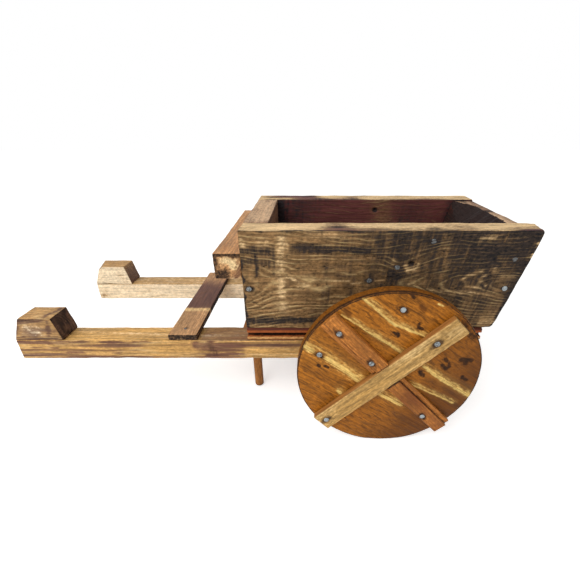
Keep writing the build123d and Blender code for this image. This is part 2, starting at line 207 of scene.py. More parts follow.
class CART_PG_wheel(bpy.types.PropertyGroup):
    """How a plank wheel is laid out, seen from outside the right wheel."""

    plank_angle: angle("Plank angle", "Slope of the planks", -35)
    upper_joint: length("Upper joint", "From the axle to the upper joint between planks", 37)
    lower_joint: length("Lower joint", "From the axle to the lower joint between planks", -31)
    batten_angle: angle("Batten angle", "Slope of the batten", 43.5)
    batten_offset: length("Batten offset", "From the axle to the middle of the batten", 4)
    batten_width: length("Batten width", "Width of the batten", 31)
    batten_low_margin: length("Batten low margin", "From the batten's low end to the rim", 3)
    batten_high_margin: length("Batten high margin", "From the batten's high end to the rim", 8)
    brace_width: length("Brace width", "Width of a brace with its tongue", 27)
    brace_tongue: length("Brace tongue", "Width of the tongue on a brace", 6.8)
    brace_edge: length("Brace edge", "Cut off the long edges of a brace", 0.8)
    tongue_bottom: length("Tongue bottom", "From the disc to the tongue", 1.5)
    tongue_top: length("Tongue top", "From the disc to the top of the tongue", 6)
    brace_margin: length("Brace margin", "From a brace's outer end to the rim", 2)
    cleat_inset: length("Cleat inset", "From the rim to the middle of a back cleat", 48)
    cleat_width: length("Cleat width", "Width of a back cleat", 36)
    cleat_margin: length("Cleat margin", "From the ends of a back cleat to the rim", 9)
    hub_size: length("Hub size", "Width of the hub block", 64)
    hub_bevel: length("Hub bevel", "Cut off each corner of the hub block", 6)
    hub_bore: length("Hub bore", "Radius of the hole that the axle runs in", 6.3)


class CART_PG_steel(bpy.types.PropertyGroup):
    """Sizes and colours of the nails, screws and axle."""

    nail: colour("Nail", "Colour of the nail and screw heads", "a9b0b3")
    axle: colour("Axle", "Colour of the axle and its fittings", "8e8b86")
    rust: colour("Rust", "Colour of the dirt and rust on steel", "3c3836")
    nail_shank: length("Nail shank", "Radius of a nail", 1.5)
    nail_head: length("Nail head", "Radius of a nail head", 3.7)
    nail_rise: length("Nail rise", "Height of a nail head", 1.5)
    nail_sink: length("Nail sink", "How deep a clean nail head is driven in", 0.3)
    rusty_sink: length("Rusty sink", "How much deeper for each unit of weather past clean", 3)
    screw_shank: length("Screw shank", "Radius of a screw", 2.2)
    screw_head: length("Screw head", "Radius of a screw head", 4.4)
    screw_rise: length("Screw rise", "Height of a screw's countersunk head", 2.3)


class CART_PG_stage(bpy.types.PropertyGroup):
    """Camera, light and floor."""

    camera_place: spot("Camera place", "Where the camera stands", (0.06636, -0.55294, 0.44223))
    camera_pitch: angle("Camera pitch", "How far the camera looks down", 26.08)
    focal_share: share("Focal length", "Focal length as a share of the picture's width", 0.58686)
    shift: number("Shift", "Sideways shift of the picture", -0.03452)
    floor: colour("Floor", "Colour of the floor", "f4f3f1")
    floor_reach: length("Floor reach", "From the middle of the floor to its edges", 6000)
    floor_glow: share("Floor glow", "How far the floor is whitened for the camera", 0.5)
    key: number("Key light", "Power of the large soft lamp", 26, "POWER")
    key_place: spot("Key place", "Where the lamp hangs", (-0.9, -1.2, 1.5))
    key_target: spot("Key target", "What the lamp points at", (0.05, 0.0, 0.15))
    key_width: length("Key width", "Width of the lamp", 1600)
    key_height: length("Key height", "Height of the lamp", 1200)
    sky: number("Sky", "Level of the light all round", 0.62)


GROUPS = {
    **{slot: finish_group(slot, *look) for slot, look in FINISHES.items()},
    "wear": CART_PG_wear,
    "tray": CART_PG_tray,
    "grip": CART_PG_grip,
    "wheel": CART_PG_wheel,
    "steel": CART_PG_steel,
    "stage": CART_PG_stage,
}


def settings(name):
    """The settings group of that name."""
    return getattr(bpy.context.scene, f"cart_{name}")


def millimetres(group, *names):
    """Lengths from a settings group, in millimetres."""
    return [getattr(settings(group), name) / MM for name in names]


def wear():
    """Radius worn onto edges, depth brushed out of soft wood and waviness of faces, in millimetres."""
    return millimetres("wear", "arris", "relief", "waviness")


# Nodes for materials and for repeated pieces


class Field:
    """A number that changes over a surface, so that Python sums and products add Math nodes."""

    def __init__(self, graph, socket):
        self.graph = graph
        self.socket = socket

    def __add__(self, other):
        return self.graph.math("ADD", self, other)

    def __sub__(self, other):
        return self.graph.math("SUBTRACT", self, other)

    def __rsub__(self, other):
        return self.graph.math("SUBTRACT", other, self)

    def __mul__(self, other):
        return self.graph.math("MULTIPLY", self, other)

    def __truediv__(self, other):
        return self.graph.math("DIVIDE", self, other)

    def __pow__(self, other):
        return self.graph.math("POWER", self, other)

    __radd__ = __add__
    __rmul__ = __mul__

    def sine(self):
        """The sine of the number."""
        return self.graph.math("SINE", self)

    def held(self):
        """The same number, kept from 0 to 1."""
        return self.graph.math("ADD", self, 0, use_clamp=True)


class Graph:
    """Adds nodes to a node tree."""

    def __init__(self, tree):
        self.tree = tree

    def node(self, kind, choices=None, **sockets):
        """A new node: its choices are set first, then each socket gets a value or a link."""
        made = self.tree.nodes.new(kind)
        for name, value in (choices or {}).items():
            setattr(made, name, value)
        for name, value in sockets.items():
            found = [s for s in made.inputs if name in (s.identifier, s.name.replace(" ", "_"))]
            if isinstance(value, Field):
                self.tree.links.new(value.socket, found[0])
            else:
                found[0].default_value = value
        return made

    def field(self, kind, choices=None, output=0, **sockets):
        """One output of a new node, found by its number or its identifier."""
        outputs = self.node(kind, choices, **sockets).outputs
        by_identifier = {socket.identifier: socket for socket in outputs}
        return Field(self, by_identifier.get(output) or outputs[output])

    def fields(self, node, *names):
        """Several outputs of a node, by their names, or all of them."""
        sockets = [node.outputs[name] for name in names] if names else node.outputs
        return [Field(self, socket) for socket in sockets]

    def math(self, operation, first, second=0, use_clamp=False):
        """A Math node."""
        choices = {"operation": operation, "use_clamp": use_clamp}
        return self.field("ShaderNodeMath", choices, Value=first, Value_001=second)

    def vector(self, x, y, z):
        """Three numbers as one vector."""
        return self.field("ShaderNodeCombineXYZ", X=x, Y=y, Z=z)

    def parts(self, vector):
        """The three numbers of a vector."""
        return self.fields(self.node("ShaderNodeSeparateXYZ", Vector=vector))

    def scaled(self, vector, amount):
        """A vector or a colour times a number."""
        return self.field("ShaderNodeVectorMath", {"operation": "SCALE"}, Vector=vector, Scale=amount)


class Paint(Graph):
    """Adds the nodes of one material."""

    def __init__(self, name):
        self.material = bpy.data.materials.new(name)
        self.material.use_nodes = True
        super().__init__(self.material.node_tree)
        self.tree.nodes.clear()

    def attribute(self, name, output="Fac"):
        """What the points of the piece hold under a name."""
        return self.field("ShaderNodeAttribute", {"attribute_name": name}, output=output)

    def noise(self, place, detail, roughness=0.55):
        """Noise from 0 to 1 with lumps about one unit across."""
        return self.field(
            "ShaderNodeTexNoise",
            {"noise_dimensions": "3D"},
            Vector=self.vector(*place),
            Scale=1.0,
            Detail=detail,
            Roughness=roughness,
        )

    def mix(self, amount, first, second):
        """A colour between two others."""
        colours = {
            name: value if isinstance(value, Field) else (*value, 1)
            for name, value in (("A_Color", first), ("B_Color", second))
        }
        choices = {"data_type": "RGBA"}
        return self.field("ShaderNodeMix", choices, output="Result_Color", Factor_Float=amount, **colours)

    def finish(self, tint, roughness, height, depth, **constants):
        """Close the material with a surface that has this colour, roughness and relief."""
        relief = self.field("ShaderNodeBump", Strength=0.6, Distance=depth, Height=height)
        surface = self.field(
            "ShaderNodeBsdfPrincipled", Base_Color=tint, Roughness=roughness, Normal=relief, **constants
        )
        self.node("ShaderNodeOutputMaterial", Surface=surface)
        return self.material


def finish_of(slot, make):
    """The material of a slot, made the first time that it is asked for."""
    name = f"{slot}_finish"
    return bpy.data.materials.get(name) or make(slot, Paint(name))


def cover(mark, noise, soft=0.25):
    """How far a mark covers the wood here: nothing at 0, everything at 1, ragged between."""
    spread = ((noise - 0.5) * 2.4 + 0.5).held()
    edge = (1 - mark) * (1 + 2 * soft) - soft
    return ((spread - edge) / (2 * soft) + 0.5).held()


def swing(noise, amount):
    """A factor that swings either side of 1 with a noise."""
    return (noise - 0.5) * amount + 1


def wood(slot, paint):
    """Scorched, brushed and oiled wood in one of the finishes."""
    look = settings(slot)
    along, across, depth = paint.parts(paint.attribute("grain", "Vector"))
    char, bare, stain = paint.parts(paint.attribute("finish", "Vector"))
    rings = paint.attribute("rings")

    def streaks(along_scale, across_scale, detail, roughness=0.55):
        """Noise over the grain, from how many lumps a millimetre has along it and across it."""
        place = (along * along_scale, across * across_scale, depth * across_scale)
        return paint.noise(place, detail, roughness)

    fibre = streaks(0.013, 0.3, 5, 0.62)
    cloud = streaks(0.012, 0.03, 3)
    ragged = streaks(0.045, 0.16, 6, 0.68)
    grit = ((streaks(0.17, 0.27, 5, 0.7) - 0.5) * 1.8 + 0.5).held()
    pore = streaks(0.075, 0.42, 2)
    check = streaks(0.22, 0.03, 3)
    ring_share = paint.noise((rings * 0.7, along * 0.012, 0.0), 1)

    # Growth rings show as pale lines with dark seams beside them, some more than others
    phase = (rings + fibre * 0.25 + ragged * 0.3) * TURN
    line = (phase.sine() * 0.5 + 0.5) ** 4
    line = line * ((ring_share - 0.35) * 5).held() * ((ragged - 0.39) * 5.5).held()
    line = line * (1 - char * char).held()
    seam = ((phase + 2.6).sine() * 0.5 + 0.5) ** 4 * ((ring_share - 0.33) * 4).held()
    dash = ((pore - 0.53) * 8).held() * look.dashes

    # Plain wood
    shaded = [c * 0.66 for c in look.ground]
    pitted = [c * 0.33 for c in look.ground]
    tint = paint.mix(((cloud - 0.3) * 2.2).held(), shaded, look.ground)
    tint = paint.scaled(tint, swing(fibre, char * 3.5 + 2.2) * swing(grit, char * 5.0 + 1.0))
    tint = paint.mix(line * look.lines, tint, look.line)
    tint = paint.mix((dash + seam * look.lines * 0.75).held(), tint, pitted)

    # Dark stain
    stained = cover(stain, cloud * 0.25 + ragged * 0.4 + fibre * 0.35, 0.3) * (1 - line * 0.2)
    stained = (stain * 0.35 + stained * 0.6).held()
    tint = paint.mix(stained, tint, paint.scaled(look.stain, swing(fibre, 2.0)))

    # Wood rubbed bare
    pale = paint.mix((dash * 0.4 + seam * 0.2).held(), look.bare, look.ground)
    pale = paint.scaled(pale, swing(fibre, 1.4) * swing(grit, 0.9))
    rubbed = cover(bare, ragged * 0.4 + grit * 0.35 + fibre * 0.25, 0.3)
    tint = paint.mix((bare * 0.3 + rubbed * 0.62).held(), tint, pale)

    # Char, which checks across the grain
    checked = (char + (check - 0.5) * char * 1.1).held()
    burnt = cover(checked, ragged * 0.4 + fibre * 0.3 + grit * 0.3, 0.3)
    burnt = burnt * (1 - line * 0.7) * (1 - rubbed * 0.5)
    tint = paint.mix(burnt * 0.93, tint, paint.scaled(look.burn, swing(grit, 1.6)))

    height = line * 0.7 + fibre * 0.6 + grit * 0.3 - dash * 0.5 - burnt * 0.2
    roughness = burnt * 0.2 + fibre * 0.2 + (look.roughness - 0.1)
    return paint.finish(tint, roughness, height, 0.7 * MM, Specular_IOR_Level=0.15)


# Which colour of the steel settings each kind of steel takes
METALS = {"nail_steel": "nail", "screw_steel": "nail", "axle_steel": "axle"}


def steel(slot, paint):
    """Worn steel, dirty in patches."""
    look = settings("steel")
    metal = getattr(look, METALS[slot])
    place = [part / MM for part in paint.parts(paint.field("ShaderNodeTexCoord", output="Object"))]
    dirt = paint.noise([p * 0.45 for p in place], 4, 0.65)
    scratch = paint.noise([p * 1.6 for p in place], 3)
    soiled = ((dirt - 0.62 + paint.attribute("weather") * 0.42) * 5).held()
    clean = paint.mix(scratch, [c * 0.7 for c in metal], metal)
    tint = paint.mix(soiled * 0.8, clean, look.rust)
    roughness = soiled * 0.3 + scratch * 0.25 + 0.35
    return paint.finish(tint, roughness, scratch + dirt, 0.25 * MM, Metallic=0.75 - soiled * 0.6)


# Shapes in wood

# Large numbers that scatter neighbouring cells
CELL_FACTORS = np.array((73856093, 19349663, 83492791))
SEED_FACTOR = 1013904223
MIXING_ROUNDS = ((15, 2246822519), (13, 3266489917))

# How far the grain moves on from one seed to the next
GRAIN_STRIDE = np.array((131.7, 57.3, 23.1))

# Edges between faces that meet more sharply than this stay sharp
WOOD_CREASE = math.radians(50)
STEEL_CREASE = math.radians(35)


def hashed(cells, seed):
    """A repeatable random number from -1 to 1 for each whole-number cell."""
    mixed = cells @ CELL_FACTORS + seed * SEED_FACTOR
    for shift, factor in MIXING_ROUNDS:
        mixed = ((mixed ^ (mixed >> shift)) * factor) % 2**32
    return (mixed ^ (mixed >> 16)) % 65536 / 32767.5 - 1


def drift(points, seed):
    """Smooth random numbers from -1 to 1, with lumps about one unit across."""
    low = np.floor(points).astype(np.int64)
    part = points - low
    part = part * part * (3 - 2 * part)
    total = np.zeros(len(points))
    for corner in np.ndindex(2, 2, 2):
        weight = np.where(corner, part, 1 - part).prod(axis=1)
        total += weight * hashed(low + np.array(corner), seed)
    return total


def bump(distance, reach):
    """Weight that falls smoothly from 1 at no distance to almost nothing at twice a reach."""
    return np.exp(-((distance / reach) ** 2))


def stroke(u, v, start, end, reach):
    """Weight of a soft stroke drawn between two spots of a face, 1 along its middle."""
    start, run = np.array(start, float), np.subtract(end, start, dtype=float)
    u, v = u - start[0], v - start[1]
    part = np.clip((u * run[0] + v * run[1]) / max(run @ run, 1e-9), 0, 1)
    return np.exp(-((u - part * run[0]) ** 2 + (v - part * run[1]) ** 2) / reach**2)


def graded(size, step, edge):
    """Places along a length as shares of it, closer together by both ends."""
    edge = min(edge, size / 3)
    near = edge * np.array((0, 0.15, 0.4, 0.7))
    middle = np.linspace(edge, size - edge, max(2, round((size - 2 * edge) / step)) + 1)
    return np.concatenate((near, middle, size - near[::-1])) / size


def shell(xs, ys, zs):
    """Points and outward quads on the six sides of a block with these grid lines."""
    shape = (len(xs), len(ys), len(zs))
    index = np.arange(np.prod(shape)).reshape(shape)
    quads = []
    for axis in range(3):
        for end in (0, -1):
            side = np.take(index, end, axis)
            corners = (side[:-1, :-1], side[1:, :-1], side[1:, 1:], side[:-1, 1:])
            ring = np.stack(corners, -1).reshape(-1, 4)
            quads.append(ring[:, ::-1] if (end == 0) != (axis == 1) else ring)
    used, faces = np.unique(np.concatenate(quads), return_inverse=True)
    i, j, k = np.unravel_index(used, shape)
    return np.stack((xs[i], ys[j], zs[k]), -1), faces.reshape(-1, 4)


class Board:
    """A piece of wood in its own millimetres, with x along the grain."""

    def __init__(self, points, out, faces, seed):
        self.points = points
        self.out = out / np.linalg.norm(out, axis=1, keepdims=True)
        self.faces = faces
        self.seed = seed
        self.grain = points + seed * GRAIN_STRIDE
        self.rings = np.zeros(len(points))
        self.marks = np.zeros((len(points), 3))
        self.give = np.ones(len(points))

    def facing(self, axis, sign):
        """Weight of how far each point faces one way along an axis."""
        return np.clip(self.out[:, axis] * sign * 2.2 - 0.7, 0, 1)

    def lumps(self, x, y, z, salt=0):
        """Smooth random numbers over the piece, with lumps of this size in millimetres."""
        return drift(self.points / np.array((x, y, z)), self.seed + salt)

    def grow(self, pith, spacing, bend=8.0, knots=(), bow=(0.0, 0.0)):
        """Number the growth rings round a pith that wanders, and may bow, along the piece."""
        bowed = pith[0] + bow[1] * ((self.points[:, 0] - bow[0]) / 100) ** 2
        across = self.points[:, 1] - bowed + bend * self.lumps(150, 400, 400, 1)
        depth = self.points[:, 2] - pith[1] + bend * self.lumps(190, 400, 400, 2)
        rings = np.hypot(across, depth) / spacing + 0.9 * self.lumps(60, 26, 26, 3)
        rings += 0.3 * self.lumps(20, 9, 9, 13)
        for along, height, reach in knots:
            u, v = (self.points[:, 0] - along) / 1.7, self.points[:, 2] - height
            rings += 1.6 * bump(np.hypot(u, v), reach)
        self.rings = rings
        return self

    def brush(self, depth):
        """Brush the soft wood out from between the growth lines, on all but the end grain."""
        soft = 0.5 - 0.5 * np.sin(TURN * self.rings)
        soft = soft * self.give * (1 - np.abs(self.out[:, 0]))
        self.points = self.points - self.out * (depth * soft)[:, None]
        return self

    def warp(self, depth, size=70):
        """Let the faces wander inwards from flat."""
        dip = depth * self.give * (0.5 + 0.5 * self.lumps(size, size / 2, size / 2, 4))
        self.points = self.points - self.out * dip[:, None]
        return self

    def cut(self, normal, offset):
        """Plane wood away: what lies before the plane moves onto it. The normal points into the wood."""
        normal = np.array(normal, float) / np.linalg.norm(normal)
        excess = np.maximum(0, offset - self.points @ normal)[:, None]
        self.points = self.points + normal * excess
        self.out = np.where(excess > 0.05, -normal, self.out)
        return self

    def paint(self, finish, amount):
        """Add a finish where it is stronger than what is there."""
        self.marks[:, finish] = np.maximum(self.marks[:, finish], np.clip(amount, 0, 1))
        return self

    def strokes(self, u, v, marks, weight=1.0, wander=3.0, broken=1.0):
        """Paint ragged strokes at places u and v of a face. All but char is broken by the growth lines."""
        u = u + wander * (self.lumps(13, 13, 13, 21) + 0.5 * self.lumps(4, 4, 4, 22))
        v = v + wander * (0.7 * self.lumps(17, 9, 9, 23) + 0.4 * self.lumps(5, 4, 4, 24))
        lines = 1 - broken * (0.22 - 0.22 * np.sin(TURN * self.rings) - 0.25 * self.lumps(30, 5, 5, 25))
        for finish, start, end, reach, amount in marks:
            drawn = weight * amount * stroke(u, v, start, end, reach)
            drawn = np.clip(drawn if finish == CHAR else drawn * lines, 0, 1)
            self.marks[:, CHAR if finish == BARE else BARE] *= 1 - drawn
            self.paint(finish, drawn)
        return self

    def halos(self, place, heads, along, reach=(9.0, 4.5), amount=0.95):
        """Burn the wood dark round nail heads, further along the grain than across it."""
        spots = place(self.points)
        for head, *_ in heads:
            gap = spots - head
            down = gap @ along
            side = np.sqrt(np.maximum(0, (gap**2).sum(axis=1) - down**2))
            burnt = amount * bump(down, reach[0]) * bump(side, reach[1])
            self.marks[:, BARE] *= 1 - burnt
            self.paint(CHAR, burnt)
        return self

    def dent(self, u, v, spot, reach, depth):
        """Press a burnt hole into a face, at a spot among the places u and v."""
        inside = np.clip(1.25 - np.hypot(u - spot[0], v - spot[1]) / reach, 0, 1)
        self.points = self.points - self.out * (depth * inside)[:, None]
        self.marks[:, BARE] *= 1 - inside
        # Painted shade: the hole is painted black
        return self.paint(CHAR, 2 * inside)

    def singe(self, amount):
        """Scorch the edges unevenly."""
        edge = np.clip((0.97 - np.abs(self.out).max(axis=1)) * 5, 0, 1)
        return self.paint(CHAR, amount * edge * (0.75 + 0.6 * self.lumps(22, 22, 22, 14)))

    def make(self, node, body, slot, place):
        """Make the piece in the cart's frame, in place of a node of the frame."""
        mesh = bpy.data.meshes.new(f"{node}_wood")
        mesh.from_pydata((place(self.points) * MM).tolist(), [], [list(face) for face in self.faces])
        mesh.calc_loop_triangles()
        if signed_volume(mesh) < 0:
            mesh.flip_normals()
        mesh.shade_smooth()
        mesh.set_sharp_from_angle(angle=WOOD_CREASE)
        keep(mesh, "grain", self.grain)
        keep(mesh, "finish", self.marks)
        keep(mesh, "rings", self.rings)
        mesh.materials.append(finish_of(slot, wood))
        settle(mesh, body, slot, node)


def keep(mesh, name, values):
    """Give every point of a mesh a number or a vector under a name."""
    values = np.asarray(values, np.float32)
    kind, field = ("FLOAT_VECTOR", "vector") if values.ndim > 1 else ("FLOAT", "value")
    mesh.attributes.new(name, kind, "POINT").data.foreach_set(field, values.ravel())


def signed_volume(mesh):
    """Volume of a closed mesh, below zero where its faces point inwards."""
    corners = np.array([v.co for v in mesh.vertices])
    triangles = np.array([t.vertices for t in mesh.loop_triangles])
    a, b, c = (corners[triangles[:, i]] for i in range(3))
    return np.einsum("ij,ij->", a, np.cross(b, c)) / 6


def settle(mesh, body, slot, *nodes):
    """Put a finished mesh on its body, in place of nodes of the frame."""
    piece = bpy.data.objects.new(mesh.name, mesh)
    bpy.context.scene.collection.objects.link(piece)
    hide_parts(*nodes)
    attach(piece, body)


def block(size, step, arris, seed, worn=None):
    """A board with rounded, unevenly worn edges, from its size and the spacing of its points."""
    size = np.array(size, float)
    points, faces = shell(*(graded(s, p, 2.2 * arris) for s, p in zip(size, step)))
    points = points * size
    radius = arris * (1 + 0.5 * drift(points / 24, seed) + 0.35 * drift(points / 8, seed + 1))
    if worn:
        radius = radius + worn(points)
    radius = np.minimum(radius, 0.45 * size.min())[:, None]
    inner = np.clip(points, radius, size - radius)
    out = points - inner
    out = out / np.linalg.norm(out, axis=1, keepdims=True)
    return Board(inner + out * radius, out, faces, seed)


def rim_patch(s, t, radius, low, high):
    """Places on the part of a disc between two heights, from shares across it and up it."""
    cap = math.radians(50)
    start = math.asin(low / radius) if low > -radius else -cap
    stop = math.asin(high / radius) if high < radius else cap
    across = np.stack((2 * s - 1, np.ones(len(s))), -1)

    def rim(turn):
        return np.stack((np.cos(turn), np.sin(turn)), -1) * radius

    def edge(turn, middle, is_arc):
        return rim(middle + (2 * s - 1) * (turn - middle)) if is_arc else rim(turn) * across

    bottom = edge(start, -math.pi / 2, low <= -radius)
    top = edge(stop, math.pi / 2, high >= radius)
    right = rim(start + t * (stop - start))
    left = right * (-1, 1)
    s, t = s[:, None], t[:, None]
    corners = ((1 - t) * rim(start) + t * rim(stop)) * across
    return (1 - t) * bottom + t * top + (1 - s) * left + s * right - corners


def disc_plank(radius, low, high, thickness, step, arris, seed):
    """A plank cut to the rim of a disc, with rounded edges."""
    sizes = (2 * radius, min(high, radius) - max(low, -radius), thickness)
    unit, faces = shell(*(graded(s, p, 2.2 * arris) for s, p in zip(sizes, step)))
    flat = rim_patch(unit[:, 0], unit[:, 1], radius, low, high)
    depth = unit[:, 2] * thickness
    middle = np.hypot(*flat.T)
    gaps = np.stack((radius - middle, flat[:, 1] - low, high - flat[:, 1]), -1)
    nearest = gaps.argmin(axis=1)
    rimward = -flat / np.maximum(middle, 1e-6)[:, None]
    inward = np.choose(nearest[:, None], (rimward, np.array((0, 1)), np.array((0, -1))))
    worn = np.where(nearest == 0, arris * (1 + 0.4 * drift(np.c_[flat, depth] / 24, seed)), 0.12 * arris)
    side = np.clip(worn - gaps.min(axis=1), 0, worn)
    over = np.clip(worn - np.minimum(depth, thickness - depth), 0, worn)
    pull = 1 - worn / np.hypot(side, over)
    facing = np.where(depth > thickness / 2, 1, -1)
    flat = flat + inward * (side * pull)[:, None]
    depth = depth - facing * over * pull
    out = np.c_[-inward * side[:, None], facing * over]
    plank = Board(np.c_[flat, depth], out, faces, seed)
    plank.give = np.where(nearest == 0, 1, np.abs(plank.out[:, 2]))
    return plank


def stick(profile, size, step, arris, seed):
    """A stick of one section all along, with rounded ends. The section runs anticlockwise."""
    corners = np.array(profile, float)
    sides = []
    for start, end in zip(corners, np.roll(corners, -1, axis=0)):
        count = max(1, round(np.linalg.norm(end - start) / step[1]))
        sides.append(start + (end - start) * np.linspace(0, 1, count, endpoint=False)[:, None])
    section = np.concatenate(sides)
    tangent = np.roll(section, -1, axis=0) - np.roll(section, 1, axis=0)
    normal = np.stack((tangent[:, 1], -tangent[:, 0]), -1)
    normal /= np.linalg.norm(normal, axis=1, keepdims=True)
    along = graded(size, step[0], arris) * size
    near = np.clip(1 - np.minimum(along, size - along) / arris, 0, 1)
    inset = arris * (1 - np.sqrt(1 - near**2))
    rings, count = len(along), len(section)
    flat = section[None] - normal[None] * inset[:, None, None]
    points = np.concatenate((np.repeat(along, count)[:, None], flat.reshape(-1, 2)), axis=1)
    out = np.concatenate((np.zeros((rings * count, 1)), np.tile(normal, (rings, 1))), axis=1)
    index = np.arange(rings * count).reshape(rings, count)
    beside = np.roll(index, -1, axis=1)
    quads = np.stack((index[:-1], index[1:], beside[1:], beside[:-1]), -1).reshape(-1, 4)
    faces = [list(quad) for quad in quads] + [list(index[0]), list(index[-1][::-1])]
    return Board(points, out, faces, seed)


def bored_block(size, bevel, bore, thickness, arris, seed):
    """A square block with its corners cut off and a hole through the middle."""
    count = 96
    turn = (np.arange(count) + 0.5) / count * TURN
    cos, sin = np.cos(turn), np.sin(turn)
    square = 0.5 * size / np.maximum(np.abs(cos), np.abs(sin))
    diagonal = (size - bevel) / (np.abs(cos) + np.abs(sin))
    outer = np.minimum(square, diagonal)
    # Rings of points: share of the way from the bore to the sides, what is cut off there, and depth
    rows = [(1, 0, arris), (1, 0, thickness - arris), (1, arris, thickness), (0.5, 0, thickness)]
    rows += [(0, 0, thickness), (0, 0, 0), (0.5, 0, 0), (1, arris, 0)]
    points, out = [], []
    for way_out, less, depth in rows:
        reach = bore + (outer - less - bore) * way_out
        points.append(np.stack((reach * cos, reach * sin, np.full(count, depth)), -1))
        side = 1 if way_out == 1 and less == 0 else (-1 if way_out == 0 else 0)
        face = 1 if depth == thickness else (-1 if depth == 0 else 0)
        out.append(np.stack((side * cos, side * sin, np.full(count, face) + 1e-6), -1))
    index = np.arange(len(rows) * count).reshape(len(rows), count)
    after, beside = np.roll(index, -1, axis=0), np.roll(index, -1, axis=1)
    faces = np.stack((index, beside, np.roll(after, -1, axis=1), after), -1).reshape(-1, 4)
    return Board(np.concatenate(points), np.concatenate(out), faces, seed)


# What the frame says


def extent(node):
    """Lowest and highest corner of a node, in millimetres."""
    return [np.array(corner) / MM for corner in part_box(node)]


def fasteners(*nodes):
    """Head place, outward direction, length and head width of each nail or screw, in millimetres."""
    found = []
    for node in nodes:
        mesh = bmesh.new()
        mesh.from_mesh(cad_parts[node].data)
        bmesh.ops.remove_doubles(mesh, verts=mesh.verts, dist=1e-6)
        waiting = set(mesh.verts)
        while waiting:
            edge, solid = [waiting.pop()], []
            while edge:
                corner = edge.pop()
                solid.append(np.array(corner.co) / MM)
                beside = {e.other_vert(corner) for e in corner.link_edges} & waiting
                waiting -= beside
                edge.extend(beside)
            found.append(head_of(np.array(solid)))
        mesh.free()
    return sorted(found, key=lambda item: tuple(item[0].round(2)))


def head_of(solid):
    """Where the head of a straight nail or screw is, which way it faces, its length and its width."""
    low, high = solid.min(axis=0), solid.max(axis=0)
    axis = int((high - low).argmax())
    middle = (low + high) / 2
    beside = np.delete(solid, axis, axis=1)
    upper = solid[:, axis] > middle[axis]
    spread = [np.ptp(beside[part], axis=0).max() for part in (~upper, upper)]
    sign = 1 if spread[1] > spread[0] else -1
    out = np.eye(3)[axis] * sign
    middle[axis] = high[axis] if sign > 0 else low[axis]
    return middle, out, high[axis] - low[axis], max(spread)


def along_cart(low):
    """Place of a board whose grain runs along the cart."""
    return lambda points: points + low


def across_cart(low):
    """Place of a board whose grain runs across the cart."""
    return lambda points: points[:, (1, 0, 2)] + low


def upright(low):
    """Place of a stick that stands upright."""
    return lambda points: points[:, (1, 2, 0)] + low


def axle_middle():
    """The middle of the axle, in millimetres."""
    low, high = extent("axle_rod")
    return (low + high) / 2


def wheel_radius():
    """Radius of the wheels, which stand on the ground and turn on the axle."""
    return axle_middle()[2]


def wheel_place(side, turn, start):
    """Place of a wheel piece from its own x and y, turned on the axle, and its distance outwards."""
    axle_x, _, axle_z = axle_middle()
    cos, sin = math.cos(turn), math.sin(turn)

    def place(points):
        x, y, z = points.T
        out = SIDES[side] * (start + z)
        return np.stack((axle_x + x * cos - y * sin, out, axle_z + x * sin + y * cos), -1)

    return place


def grain_of_wheel(turn):
    """Direction of a wheel piece's grain in the cart's frame."""
    return np.array((math.cos(turn), 0, math.sin(turn)))


def outward_span(node):
    """Distances of a wheel piece's back and front from the middle of the cart."""
    low, high = extent(node)
    return sorted((abs(low[1]), abs(high[1])))


# Tray

